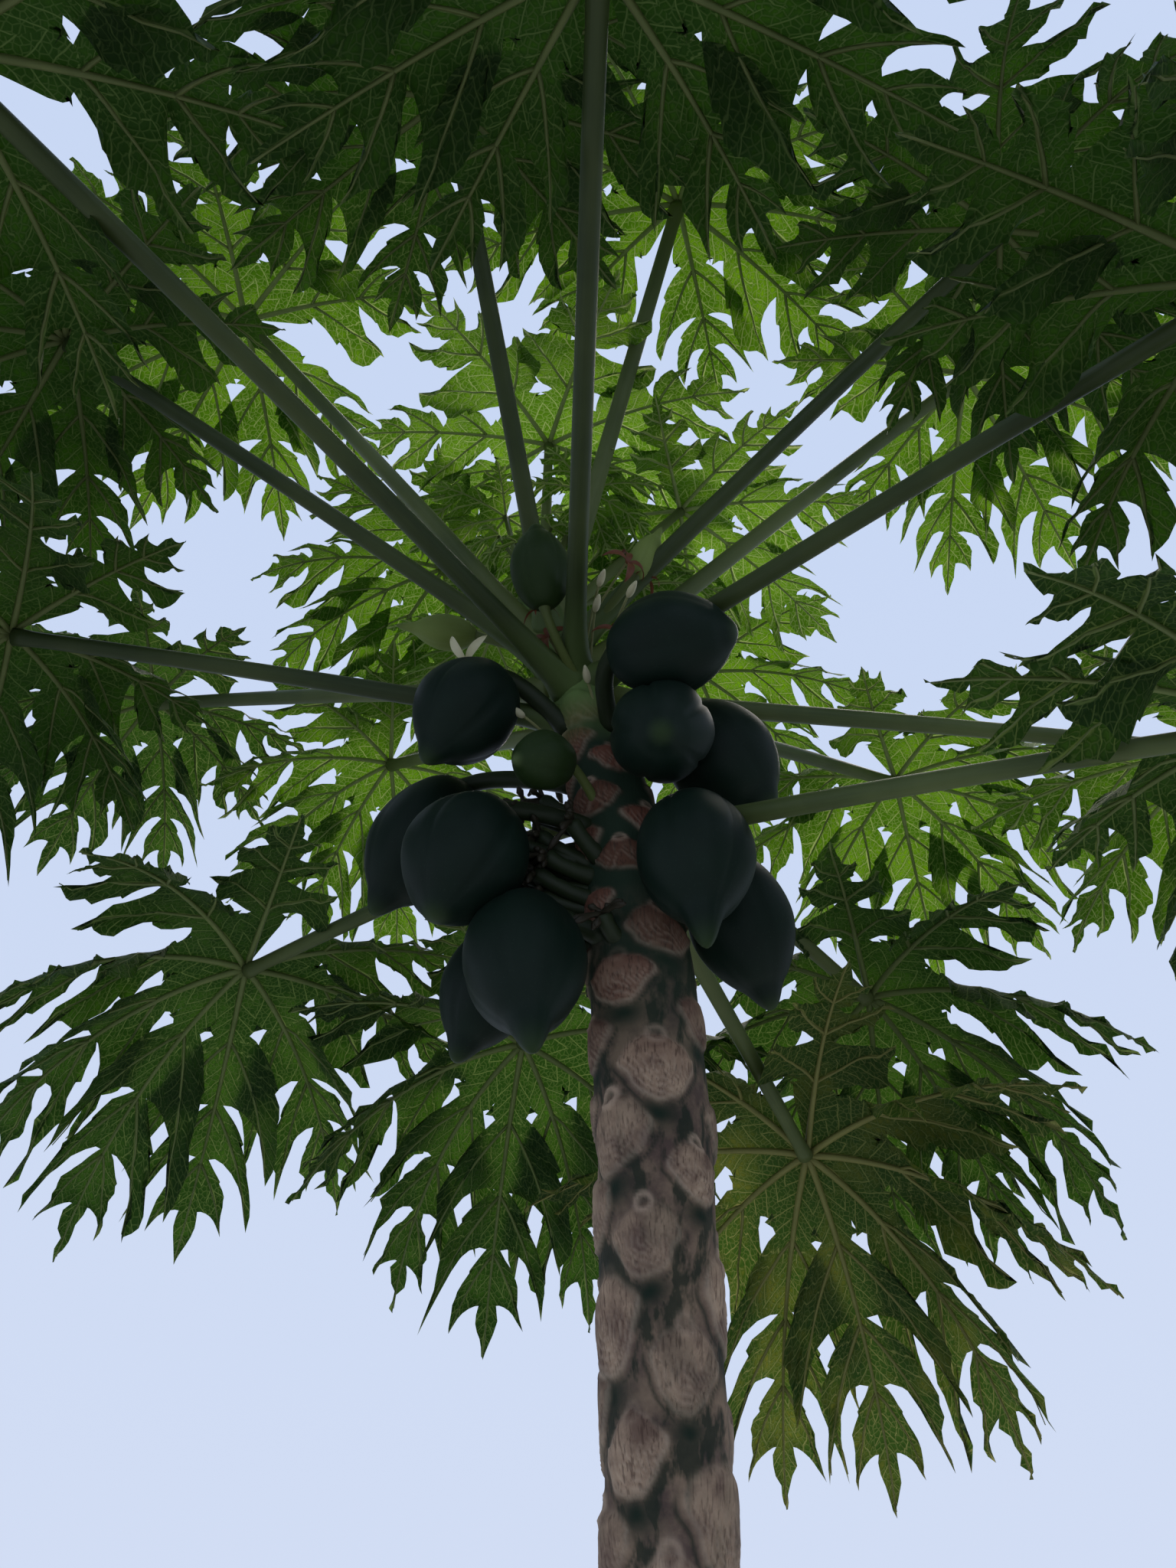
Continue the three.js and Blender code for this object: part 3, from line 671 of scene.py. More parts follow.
# Rows of half a lobe beyond the web, in shares of its length: where each starts on the midrib,
# the angle it leaves at, and its end on the edge. Also says which rows are side ribs.
def halfLobeRows(lobe, side):
    wobble = lobe["edge"][0 if side > 0 else 1]
    starts, leans, ends, ribs = [], [], [], []

    # The edge is a little uneven: it wavers by up to 14% of its width, and by 1% along the lobe
    def addRow(start, lean, along, aside):
        uneven = 1 + 0.09 * math.sin(along * 9 + wobble[0]) + 0.05 * math.sin(along * 31 + wobble[1])
        shift = 0.012 * math.sin(along * 12 + wobble[2]) * min(1, aside / 0.1)
        starts.append(start)
        leans.append(lean)
        ends.append((along + shift, aside * uneven))

    table = sideLobes[lobe["kind"]]
    for along, aside in webToNeck:
        addRow(along - 0.045, 62, along, aside * table[0][1] / 0.05)
    root, ribLean = leafShape["ribRoot"], leafShape["ribLean"]
    for neck, neckWide, tip, tipWide, widest, nextNeck, nextWide in table:
        addRow(neck, 88, neck, neckWide)
        for edge, low, high in ((outerEdge, neckWide, widest), (towardsTip, widest, tipWide)):
            for x, y in edge:
                addRow(neck + root * x, 90 - (90 - ribLean) * x ** 0.7,
                       neck + (tip - neck) * x, low + (high - low) * y)
        ribs.append(len(starts) - 1)
        for back, wide, passed in innerEdge[:-1]:
            addRow(neck + root + (nextNeck - neck - root) * passed, ribLean + 44 * passed * passed,
                   nextNeck + (tip - nextNeck) * back, nextWide + (tipWide - nextWide) * wide)
    addRow(nextNeck, 88, nextNeck, nextWide)
    for share, wide in lobeEnd:
        along = nextNeck + (1 - nextNeck) * share
        addRow(along - 0.3 * nextWide * wide, 75, along, nextWide * wide)
    return np.array(starts), np.radians(leans), np.array(ends), ribs


# Places on the flat lobe, in metres: rows are curves from the midrib to the edge, and columns
# are shares of the way. The edge keeps clear of the web.
def rowPlaces(leaf, lobe, starts, leans, ends, side, columns):
    length = leaf["reach"] * lobe["size"]
    web = leafShape["web"]
    webShare = web / lobe["size"]
    fit = (1 - webShare) / (1 - web)
    start = np.stack([webShare + (starts - web) * fit, 0 * starts], -1)
    end = np.stack([webShare + (ends[:, 0] - web) * fit, ends[:, 1]], -1)
    end[:, 0] = np.maximum(end[:, 0], webShare * leafShape["sinus"] * 0.96)
    reach = np.linalg.norm(end - start, axis=1)[:, None]
    bend = start + 0.5 * reach * np.stack([np.cos(leans), np.sin(leans)], -1)
    share = np.asarray(columns)[None, :, None]
    flat = (
        start[:, None] * (1 - share) ** 2
        + bend[:, None] * 2 * share * (1 - share)
        + end[:, None] * share ** 2)
    return flat[..., 0] * length, flat[..., 1] * length * side


# All places of one half lobe, and how far each is across and along its nearest side rib. Gap is
# half the angle to the next lobe, or 0 where there is none.
def halfLobe(leaf, lobe, gap, side):
    columns = np.array(leafShape["columns"])
    reach = leaf["reach"]
    web = np.linspace(0, leafShape["web"], leafShape["webRows"])[:, None]
    far = web * reach * leafShape["sinus"]
    edgeAlong, edgeAside = far * math.cos(math.radians(gap)), far * math.sin(math.radians(gap))
    if not gap:
        widening, limit = leafShape["backWeb"]
        wide = np.minimum(widening * web, limit) * reach
        edgeAlong, edgeAside = web * reach + wide * 0.5, wide * 0.86
    webAlong = web * reach + (edgeAlong - web * reach) * columns
    webAside = edgeAside * columns * side

    starts, leans, ends, ribs = halfLobeRows(lobe, side)
    along, aside = rowPlaces(leaf, lobe, starts, leans, ends, side, columns)
    along, aside = np.concatenate([webAlong, along]), np.concatenate([webAside, aside])
    across, ribAlong = np.full(along.shape, leafShape["farAway"]), np.zeros(along.shape)
    share = np.linspace(0, 1, 25)
    for rib in ribs:
        ribX, ribY = rowPlaces(leaf, lobe, starts[[rib]], leans[[rib]], ends[[rib]], side, share)
        step = np.concatenate([[0], np.cumsum(np.hypot(np.diff(ribX[0]), np.diff(ribY[0])))])
        away = np.hypot(along[..., None] - ribX[0], aside[..., None] - ribY[0])
        near = away.argmin(-1)
        nearest = away.min(-1)
        outward = np.sign(np.abs(aside) - np.abs(ribY[0][near]) - (along - ribX[0][near]) * 0.8)
        closer = nearest < np.abs(across)
        across = np.where(closer, nearest * outward, across)
        ribAlong = np.where(closer, step[near], ribAlong)
    return along, aside, across, ribAlong


def faceMean(grid):
    return (np.abs(grid[1:, 1:]) + np.abs(grid[:-1, :-1])) / 2


# One lobe from edge to edge. Its vein map is counted from the midrib, or from a side rib near it.
def addLobe(bm, leaf, lobes, index):
    lobe = lobes[index]
    halves = []
    for side in (-1, 1):
        other = index + side
        gap = abs(lobes[other]["turn"] - lobe["turn"]) / 2 if 0 <= other < len(lobes) else 0
        halves.append(halfLobe(leaf, lobe, gap, side))
    along, aside, sideAcross, sideAlong = [
        np.concatenate([right[:, :0:-1], left], axis=1) for right, left in zip(*halves)]
    columns = np.array(leafShape["columns"])
    margin = np.concatenate([columns[:0:-1], columns])
    places, _ = bladeSurface(leaf, lobes, lobe, along, aside, margin)
    fromMidrib = np.stack([aside, along], -1)
    fromSideRib = np.stack([sideAcross, sideAlong + 0.35], -1)
    nearSideRib = (faceMean(sideAcross) < 0.8 * faceMean(aside)).astype(int)
    addSkin(bm, places, [fromMidrib, fromSideRib], nearSideRib)


def addRibs(bm, leaf, lobes, lobe, material):
    length = leaf["reach"] * lobe["size"]
    scale = leaf["reach"] / leafShape["fullReach"]
    direction = leaf["bearing"] + leaf["yaw"] + lobe["turn"]
    sink = leafShape["ribSink"]
    share = np.linspace(0, 1, 22)
    thick, thin = [radius * scale for radius in leafShape["midrib"]]
    radii = thick + (thin - thick) * share ** 0.8
    first, last = leafShape["midribEnds"]
    along = first + (length * last - first) * share
    places, upward = bladeSurface(leaf, lobes, lobe, along, 0 * along, 0 * along)
    addLimb(bm, places - upward * (radii * sink)[:, None], radii, 6, heading(direction + 90), material)

    thick, thin = [radius * scale for radius in leafShape["sideRib"]]
    share = np.linspace(*leafShape["sideRibEnds"], 10)
    for side in (-1, 1):
        starts, leans, ends, ribs = halfLobeRows(lobe, side)
        for rib in ribs:
            along, aside = rowPlaces(leaf, lobe, starts[[rib]], leans[[rib]], ends[[rib]], side, share)
            places, upward = bladeSurface(leaf, lobes, lobe, along[0], aside[0], share)
            radii = (thick + (thin - thick) * share) * min(1, ends[rib][1] / 0.14)
            addLimb(bm, places - upward * (radii * sink)[:, None], radii, 4, upward, material)


# Side veins are 23 mm apart, and 1.3 mm wide, about twice life, so that they show. The net of
# fine veins has cells of 8 mm, a little coarser than life.
leafVeins = {
    "spacing": 0.023,
    "width": 0.0013,
    "lean": 1.05,
    "bow": 5.0,
    "netCell": 0.008,
    "sideShow": 0.70,
    "netShow": 0.33,
}

# Dark, mid and bright are one leaf tissue in painted shade and light: dark for leaves in shade, bright
# for leaves lit from behind, mid between. Yellowing and fresh are the leaves' own colours.
leafLooks = {
    "dark": {
        "blade": "#1e3212", "patch": "#294314", "vein": "#4a5c30",
        "glow": "#2b500a", "glowPatch": "#42700d", "glowVein": "#6c8242",
        "patchFrom": 0.44, "through": 0.26,
    },
    "mid": {
        "blade": "#1d3117", "patch": "#29421b", "vein": "#586c3a",
        "glow": "#305412", "glowPatch": "#4d781c", "glowVein": "#82964f",
        "patchFrom": 0.45, "through": 0.32,
    },
    "bright": {
        "blade": "#284412", "patch": "#385e16", "vein": "#788c4c",
        "glow": "#4a760c", "glowPatch": "#74a416", "glowVein": "#a8ba6a",
        "patchFrom": 0.44, "through": 0.38,
    },
    "yellowing": {
        "blade": "#2b401f", "patch": "#4c5526", "vein": "#7b8349",
        "glow": "#46681c", "glowPatch": "#8a8c30", "glowVein": "#a9a560",
        "patchFrom": 0.49, "through": 0.36,
    },
    "fresh": {
        "blade": "#31501a", "patch": "#456c20", "vein": "#8a9e5e",
        "glow": "#5c8a16", "glowPatch": "#84b226", "glowVein": "#bccd7e",
        "patchFrom": 0.45, "through": 0.42,
    },
}

# Rib colours in the same painted shade and light for dark, mid and bright leaves
ribLooks = {
    "dark": ("#7e8852", "#5c6a3a"),
    "mid": ("#8c9a5e", "#6a7c46"),
    "bright": ("#a3b46c", "#84965a"),
    "yellowing": ("#9a9a5c", "#7a7c44"),
    "fresh": ("#b0c07c", "#94a668"),
}


# Living leaf blade: thin tissue, matt underneath, that lets light through. It's darkest beside
# the veins, which are paler, and in blotches that are partly painted shade.
def leafBlade(name, looks):
    material, tree, surface = startMaterial(name, 0.65, 0.12)
    uv = addNode(tree, "UVMap", uv_map="veins").outputs["UV"]
    place = addNode(tree, "TexCoord").outputs["Object"]
    wander = addNode(tree, "TexNoise", {"Vector": place, "Scale": 18, "Detail": 3}).outputs["Color"]
    centred = addNode(tree, "VectorMath", {0: wander, 1: (0.5, 0.5, 0.5)},
                      operation="SUBTRACT").outputs[0]
    nudge = addNode(tree, "VectorMath", {0: centred, "Scale": 0.013}, operation="SCALE").outputs[0]
    bent = addNode(tree, "VectorMath", {0: uv, 1: nudge}, operation="ADD").outputs[0]
    parts = addNode(tree, "SeparateXYZ", {0: bent})
    aside = addNode(tree, "Math", {0: parts.outputs["X"]}, operation="ABSOLUTE").outputs[0]
    slope = addNode(tree, "Math", {0: aside, 1: -leafVeins["bow"], 2: leafVeins["lean"]},
                    operation="MULTIPLY_ADD").outputs[0]
    lean = addNode(tree, "Math", {0: aside, 1: slope}, operation="MULTIPLY").outputs[0]
    along = addNode(tree, "Math", {0: parts.outputs["Y"], 1: lean}, operation="SUBTRACT").outputs[0]
    toVein = addNode(tree, "Math", {0: along, 1: leafVeins["spacing"] / 2},
                     operation="PINGPONG").outputs[0]
    side = addNode(tree, "MapRange", {
        "Value": toVein, "From Min": leafVeins["width"] / 2, "From Max": leafVeins["width"] * 1.1,
        "To Min": leafVeins["sideShow"], "To Max": 0}).outputs[0]
    rib = addNode(tree, "MapRange", {
        "Value": aside, "From Min": leafVeins["width"] * 0.6, "From Max": leafVeins["width"] * 1.6,
        "To Min": 1, "To Max": 0}).outputs[0]
    cells = addNode(tree, "TexVoronoi", {"Vector": bent, "Scale": 1 / leafVeins["netCell"]},
                    feature="DISTANCE_TO_EDGE", voronoi_dimensions="2D").outputs["Distance"]
    net = addNode(tree, "MapRange", {
        "Value": cells, "From Min": 0.03, "From Max": 0.12,
        "To Min": leafVeins["netShow"], "To Max": 0}).outputs[0]
    strong = addNode(tree, "Math", {0: side, 1: rib}, operation="MAXIMUM").outputs[0]
    veins = addNode(tree, "Math", {0: strong, 1: net}, operation="MAXIMUM").outputs[0]
    # Blotches about 9 cm across: partly the tissue's own mottling, partly painted shade of leaves above
    cloud = addNode(tree, "TexNoise", {
        "Vector": place, "Scale": 11, "Detail": 5, "Roughness": 0.65}).outputs[0]
    patchFrom = looks["patchFrom"]
    mottleAndShade = addNode(tree, "MapRange", {
        "Value": cloud, "From Min": patchFrom, "From Max": patchFrom + 0.16}).outputs[0]
    inCell = addNode(tree, "MapRange", {
        "Value": cells, "From Min": 0.05, "From Max": 0.32, "To Min": 0.35, "To Max": 1}).outputs[0]
    offVein = addNode(tree, "MapRange", {
        "Value": toVein, "From Min": 0.001, "From Max": leafVeins["spacing"] * 0.35,
        "To Min": 0.3, "To Max": 1}).outputs[0]
    middle = addNode(tree, "Math", {0: inCell, 1: offVein}, operation="MULTIPLY").outputs[0]
    patch = addNode(tree, "Math", {0: mottleAndShade, 1: middle}, operation="MULTIPLY").outputs[0]

    # Skin is the colour by the light that falls on the leaf, and lit by the light through it
    tissue = addNode(tree, "Mix", {0: patch, 6: looks["blade"], 7: looks["patch"]},
                     data_type="RGBA").outputs[2]
    skin = addNode(tree, "Mix", {0: veins, 6: tissue, 7: looks["vein"]}, data_type="RGBA").outputs[2]
    inner = addNode(tree, "Mix", {0: patch, 6: looks["glow"], 7: looks["glowPatch"]},
                    data_type="RGBA").outputs[2]
    lit = addNode(tree, "Mix", {0: veins, 6: inner, 7: looks["glowVein"]}, data_type="RGBA").outputs[2]
    swell = addNode(tree, "Math", {0: middle, 1: 1.6, 2: veins}, operation="MULTIPLY_ADD").outputs[0]
    bump = addNode(tree, "Bump", {"Height": swell, "Strength": 0.5, "Distance": 0.0015}).outputs[0]
    tree.links.new(skin, surface.inputs["Base Color"])
    tree.links.new(bump, surface.inputs["Normal"])
    through = addNode(tree, "BsdfTranslucent", {"Color": lit, "Normal": bump}).outputs[0]
    both = addNode(tree, "MixShader", {
        0: looks["through"], 1: surface.outputs[0], 2: through}).outputs[0]
    tree.links.new(both, tree.nodes["Material Output"].inputs["Surface"])
    return material


# Leaf ribs, petals and buds: firm juicy tissue, smooth and a little glossy, that lets a little
# light through. Its colour drifts over so many waves to a metre.
def softTissue(name, colour, deep, specular, waves):
    material, tree, surface = startMaterial(name, 0.5, specular)
    place = addNode(tree, "TexCoord").outputs["Object"]
    cloud = addNode(tree, "TexNoise", {"Vector": place, "Scale": waves, "Detail": 3}).outputs[0]
    tone = addNode(tree, "Mix", {0: cloud, 6: colour, 7: deep}, data_type="RGBA").outputs[2]
    tree.links.new(tone, surface.inputs["Base Color"])
    through = addNode(tree, "BsdfTranslucent", {"Color": tone}).outputs[0]
    both = addNode(tree, "MixShader", {0: 0.3, 1: surface.outputs[0], 2: through}).outputs[0]
    tree.links.new(both, tree.nodes["Material Output"].inputs["Surface"])
    return material


# Full-grown leaves, from the solids: foot's height, bearing, rise and length of the stalk, then
# the blade's reach, pitch, droop and yaw, and its look
leaves = [
    (2.752, -88, -1, 0.880, 0.450, -17, 67, -5, "dark"),
    (2.818, -102, 31, 0.725, 0.440, -10, 60, 0, "dark"),
    (2.830, -62, 55, 0.740, 0.460, -10, 68, -13, "bright"),
    (2.728, -125, -1, 1.005, 0.500, -16, 60, -10, "dark"),
    (2.806, -158, 46, 0.815, 0.470, -10, 45, 0, "bright"),
    (2.766, -153, 21, 0.840, 0.450, -18, 60, 0, "dark"),
    (2.685, -172, 5, 0.810, 0.440, -25, 60, 0, "dark"),
    (2.746, 160, 18, 0.830, 0.378, -15, 52, 10, "mid"),
    (2.692, 129, 31, 0.700, 0.410, -22, 55, 0, "bright"),
    (2.565, 146, 0, 0.705, 0.510, -26, 60, 0, "mid"),
    (2.612, 103, -8, 0.600, 0.515, -33, 63, 1, "mid"),
    (2.530, 61, -18, 0.660, 0.540, -38, 55, 0, "yellowing"),
    (2.600, 48, -3, 0.660, 0.520, -28, 55, -6, "mid"),
    (2.510, -35, -15, 0.785, 0.480, -32, 55, 0, "mid"),
    (2.724, 1, -5, 0.900, 0.480, -20, 60, 0, "bright"),
    (2.735, 36, 17, 0.740, 0.440, -12, 50, 0, "bright"),
    (2.735, -45, -7, 0.925, 0.500, -20, 58, 0, "dark"),
    (2.764, -14, 40, 0.880, 0.460, 0, 35, -11, "bright"),
    (2.800, -37, 25, 0.840, 0.440, -12, 60, 0, "dark"),
    (2.785, 136, 58, 0.620, 0.420, -12, 61, -7, "bright"),
    (2.792, 60, 42, 0.690, 0.400, -22, 50, 0, "bright"),
]
youngLeaves = [
    (2.850, -90, 87, 0.450, 0.426, 0, 41, 16, "fresh"),
    (2.850, 11, 57, 0.420, 0.370, 0, 38, 24, "fresh"),
]
# Small pale leaves round the growing tip
heartLeaves = [
    (2.868, 66, 60, 0.330, 0.250, -8, 58, 10, "fresh"),
    (2.874, 128, 74, 0.360, 0.205, -5, 52, 0, "fresh"),
    (2.874, -25, 72, 0.270, 0.160, -5, 55, 0, "fresh"),
    (2.866, 28, 44, 0.260, 0.190, -10, 56, 0, "fresh"),
    (2.866, 112, 42, 0.330, 0.240, -12, 58, 0, "fresh"),
]
young = {
    "girth": 0.7,
    "heartGirth": 0.42,
    "seatGap": 0.001,
}


def leafFrom(row):
    names = ("foot", "bearing", "rise", "stalk", "reach", "pitch", "droop", "yaw", "look")
    leaf = dict(zip(names, row))
    leaf["hub"] = hubOf(leaf)
    return leaf


def addBlade(bm, leaf, lobeTable, seed):
    lobes = spreadLobes(lobeTable, np.random.default_rng(seed))
    for index in range(len(lobes)):
        addLobe(bm, leaf, lobes, index)
    bmesh.ops.remove_doubles(bm, verts=bm.verts, dist=leafShape["mergeWithin"])
    for lobe in lobes:
        addRibs(bm, leaf, lobes, lobe, 1)


# A small leaf is one piece, with its stalk
def makeSmallLeaf(row, girth, seed, materials, name, *nodes):
    leaf = leafFrom(row)
    bm = newMesh()
    addBlade(bm, leaf, youngLobes, seed)
    addStalk(bm, leaf, girth, young["seatGap"], 2)
    finishPiece(bm, name, materials, "young_leaf", *nodes)


def makeLeaves():
    blades = {look: leafBlade("leaf_blade_" + look, looks) for look, looks in leafLooks.items()}
    ribs = {look: softTissue("leaf_rib_" + look, *colours, specular=0.25, waves=30)
            for look, colours in ribLooks.items()}
    skins = {look: stalkSkin("stalk_skin_" + look, looks) for look, looks in stalkLooks.items()}
    for number, row in enumerate(leaves, 1):
        leaf = leafFrom(row)
        look = leaf["look"]
        name = "leaf_%02d" % number
        bm = newMesh()
        addBlade(bm, leaf, fullLobes, 100 + number)
        finishPiece(bm, name + "_fine", [blades[look], ribs[look]], "leaf", name + "_blade")
        bm = newMesh()
        addStalk(bm, leaf, 1, stalkShape["seatGap"])
        # Stalks of dark leaves take the painted shaded skin, the others the painted lit one
        skin = skins["shaded" if look == "dark" else "new"]
        finishPiece(bm, name + "_stem", [skin], "stalk", name + "_stalk")
    freshMaterials = [blades["fresh"], ribs["fresh"], skins["new"]]
    for number, row in enumerate(youngLeaves, 1):
        name = "young_leaf_%d" % number
        makeSmallLeaf(row, young["girth"], 200 + number, freshMaterials, name + "_fine", name)
    for number, row in enumerate(heartLeaves, 1):
        name = "heart_leaf_%d" % number
        makeSmallLeaf(row, young["heartGirth"], 400 + number, freshMaterials, name)
    return skins, freshMaterials


# Shoot: the growing tip's cone and the folded youngest leaves on it

shoot = {
    "leaves": 5,
    "bearing": 45,
    "turn": 137,
    "stalk": 0.165,
    "shorter": 0.018,
    "reach": 0.100,
    "rise": 70,
    "pitch": -20,
    "droop": 75,
    "root": 0.020,
    "stalkFoot": 0.01,  # metres above the stem's tip
    "stalkBend": 0.06,
    "stalkRadii": (0.0045, 0.003),
    "stalkSteps": 12,
    "seatGap": 0.003,
    "cone": [(0, 0.0145), (0.012, 0.0135), (0.036, 0.009), (0.060, 0.0015)],
}


def makeShoot(freshMaterials):
    tip = stemAxis(trunk["tipHeight"])
    steps = shoot["stalkSteps"]
    bm = newMesh()
    for k in range(shoot["leaves"]):
        bearing = shoot["bearing"] + shoot["turn"] * k
        leaf = leafFrom((
            trunk["tipHeight"], bearing, shoot["rise"], shoot["stalk"] - shoot["shorter"] * k,
            shoot["reach"], shoot["pitch"], shoot["droop"], 0, "fresh"))
        leaf["hub"] = leaf["hub"] + up * shoot["root"]
        addBlade(bm, leaf, shootLobes, 300 + k)
        foot, bend = tip + up * shoot["stalkFoot"], tip + up * shoot["stalkBend"]
        stalk = bendThrough(foot, bend, leaf["hub"] - up * shoot["seatGap"], steps)
        addLimb(bm, stalk, np.linspace(*shoot["stalkRadii"], steps), 8, heading(bearing + 90), 2)
    points = [tip + up * height for height, _ in shoot["cone"]]
    addLimb(bm, points, [radius for _, radius in shoot["cone"]], 16, heading(0), 2)
    finishPiece(bm, "crown_shoot_fine", freshMaterials, "young_leaf", "crown_shoot")


# Fruit, from the solids: height, bearing and distance of its middle from the stem's axis, its
# length and width, the bearing and rise its pointed end faces, its stalk's foot, its beak in
# shares of half its length, and its look

fruit = [
    (2.664, -60, 0.203, 0.172, 0.136, -22, -8, 2.655, 0.05, "large"),
    (2.554, -70, 0.165, 0.162, 0.132, -95, -45, 2.620, 0.05, "large"),
    (2.604, -12, 0.165, 0.182, 0.148, 5, -55, 2.640, 0.14, "large"),
    (2.390, -64, 0.158, 0.200, 0.146, -80, -83, 2.450, 0.42, "large"),
    (2.390, -2, 0.140, 0.196, 0.134, 50, -64, 2.455, 0.18, "large"),
    (2.640, -157, 0.200, 0.168, 0.140, 175, -62, 2.665, 0.20, "large"),
    (2.553, 166, 0.280, 0.220, 0.144, 165, -62, 2.600, 0.18, "large"),
    (2.426, -158, 0.230, 0.194, 0.158, -160, -72, 2.520, 0.08, "large"),
    (2.280, -143, 0.182, 0.224, 0.150, -70, -72, 2.360, 0.34, "large"),
    (2.326, 172, 0.198, 0.178, 0.124, 160, -68, 2.400, 0.20, "large"),
    (2.536, -128, 0.160, 0.094, 0.078, -140, -30, 2.540, 0.12, "small"),
    (2.806, -98, 0.150, 0.122, 0.082, -103, 62, 2.728, 0.12, "small"),
    (2.847, 175, 0.150, 0.100, 0.054, -175, 6, 2.800, 0.45, "young"),
    (2.892, -24, 0.192, 0.092, 0.044, -20, 65, 2.805, 0.40, "young"),
]
fruitShape = {
    "segments": 60,
    "rings": 44,
    "ridges": 5,
    "ridgeDepth": 0.022,
    "grooveDepth": 0.052,
    "grooveWidth": 0.12,
    "lump": 0.012,
    "fullness": 1.02,
    "taper": 0.20,
    "beakTaper": 0.35,
    "beakFrom": 0.80,
    "beakNeck": 0.3,
    "shift": 0.05,  # the whole body lies this much nearer to the stalk
    "dimple": 0.06,
    "dimpleAt": (0.93, 0.07),  # where it starts, in shares of half the length, and how long it is
    "paleAt": (0.9, 0.1),
    "seat": 0.8,  # the stalk starts so far out from the stem's axis, in shares of its radius
    "stalk": 0.0125,
    "smallStalk": 0.0065,
    "stalkEnd": 0.42,
    "stalkBend": 0.66,
    "stalkFoot": (0.35, 0.06),  # how much thicker it is there, and how soon that fades
    "stalkTop": (0.45, 0.72, 0.95),
    "stalkSteps": 18,
}

# Stalks left on the stem by flowers and lost fruit, each with dry twigs at its end: height,
# bearing, length and rise
spurs = [
    (2.470, -165, 0.075, 12), (2.522, -172, 0.085, 6), (2.410, -170, 0.070, -4), (2.545, 176, 0.060, 18),
    (2.500, 165, 0.085, 4), (2.455, 178, 0.080, 8), (2.435, 168, 0.075, -6), (2.385, -176, 0.080, 4),
    (2.445, 22, 0.070, 0), (2.500, -32, 0.060, 10), (2.580, 42, 0.070, 12), (2.400, 108, 0.070, 0),
    (2.520, 88, 0.080, 6), (2.470, -140, 0.050, 16), (2.352, -122, 0.035, -6), (2.640, 130, 0.070, 14),
    (2.488, -178, 0.100, -2), (2.512, 160, 0.100, 2), (2.438, -174, 0.095, 2), (2.400, 178, 0.090, 0),
    (2.468, 150, 0.100, 4), (2.362, -172, 0.080, 8), (2.474, -168, 0.105, 0), (2.418, -162, 0.085, 6),
    (2.450, -158, 0.070, -4), (2.500, 172, 0.105, -6), (2.428, 164, 0.095, 8),
]
spurShape = {
    "radii": [0.0155, 0.0130, 0.0110, 0.0105, 0.0120, 0.0100],
    "steps": [0, 0.15, 0.4, 0.7, 0.92, 1],
    "bend": 0.02,
    "twigs": 8,
    "twigLength": 0.032,
    "twigStray": 0.4,
    "twigSpread": (70, 50),  # degrees to each side, and up or down
    "twigFall": 0.35,
    "twigRadii": [0.0048, 0.0036, 0.0032, 0.0054, 0.0020],
}

fruitLooks = {
    "large": {"skin": "#0a1711", "wax": "#14251c", "dot": "#22342a", "end": "#28391e"},
    "small": {"skin": "#1c2c12", "wax": "#283a1a", "dot": "#364722", "end": "#4a5a34"},
    "young": {"skin": "#66773a", "wax": "#78884a", "dot": "#808e54", "end": "#5a683a"},
}


# Unripe papaya skin: smooth and dark with a dull wax, paler at the blossom end. The pores are
# drawn 5 mm apart, a little coarser than life.
def papayaSkin(name, looks):
    material, tree, surface = startMaterial(name, 0.52, 0.15)
    end = addNode(tree, "Attribute", attribute_name="tip").outputs["Fac"]
    place = addNode(tree, "TexCoord").outputs["Object"]
    cloud = addNode(tree, "TexNoise", {"Vector": place, "Scale": 16, "Detail": 4}).outputs[0]
    pore = addNode(tree, "TexVoronoi", {"Vector": place, "Scale": 190}).outputs["Distance"]
    dot = addNode(tree, "MapRange", {
        "Value": pore, "From Min": 0.10, "From Max": 0.22, "To Min": 0.35, "To Max": 0}).outputs[0]
    whole = looks["skin"]
    for share, colour in ((cloud, looks["wax"]), (dot, looks["dot"]), (end, looks["end"])):
        whole = addNode(tree, "Mix", {0: share, 6: whole, 7: colour}, data_type="RGBA").outputs[2]
    bump = addNode(tree, "Bump", {"Height": pore, "Strength": 0.08, "Distance": 0.0006}).outputs[0]
    tree.links.new(whole, surface.inputs["Base Color"])
    tree.links.new(bump, surface.inputs["Normal"])
    return material


def addFruitBody(bm, middle, axis, long, wide, beak, phase):
    across = np.cross(axis, up)
    across /= np.linalg.norm(across)
    other = np.cross(across, axis)
    verts = bmesh.ops.create_uvsphere(
        bm, u_segments=fruitShape["segments"], v_segments=fruitShape["rings"], radius=1)["verts"]
    mark = bm.verts.layers.float["tip"]
    dimpleFrom, dimpleLong = fruitShape["dimpleAt"]
    paleFrom, paleLong = fruitShape["paleAt"]
    for vert in verts:
        x, y, z = vert.co
        turn = math.atan2(y, x)
        between = math.cos((fruitShape["ridges"] * turn + phase) / 2)
        groove = fruitShape["grooveDepth"] * math.exp(-(between / fruitShape["grooveWidth"]) ** 2)
        ridge = 1 - (2 * fruitShape["ridgeDepth"] * (1 - between ** 2) + groove) * (1 - z ** 4)
        lump = 1 + fruitShape["lump"] * math.sin(2 * turn + phase + 3 * z)
        taper = fruitShape["taper"] + fruitShape["beakTaper"] * beak
        girth = wide / 2 * ridge * lump * (fruitShape["fullness"] - taper * max(0, z) ** 1.8)
        end = max(0, (z - fruitShape["beakFrom"]) / (1 - fruitShape["beakFrom"]))
        dimple = fruitShape["dimple"] * max(0, (-z - dimpleFrom) / dimpleLong)
        rise = z - fruitShape["shift"] + beak * end ** 2 + dimple
        girth *= 1 - fruitShape["beakNeck"] * end * (1 - end)
        vert.co = middle + axis * rise * long / 2 + across * x * girth + other * y * girth
        vert[mark] = max(0, (z - paleFrom) / paleLong) ** 2
        for face in vert.link_faces:
            face.smooth = True
    bmesh.ops.recalc_face_normals(bm, faces=bm.faces)


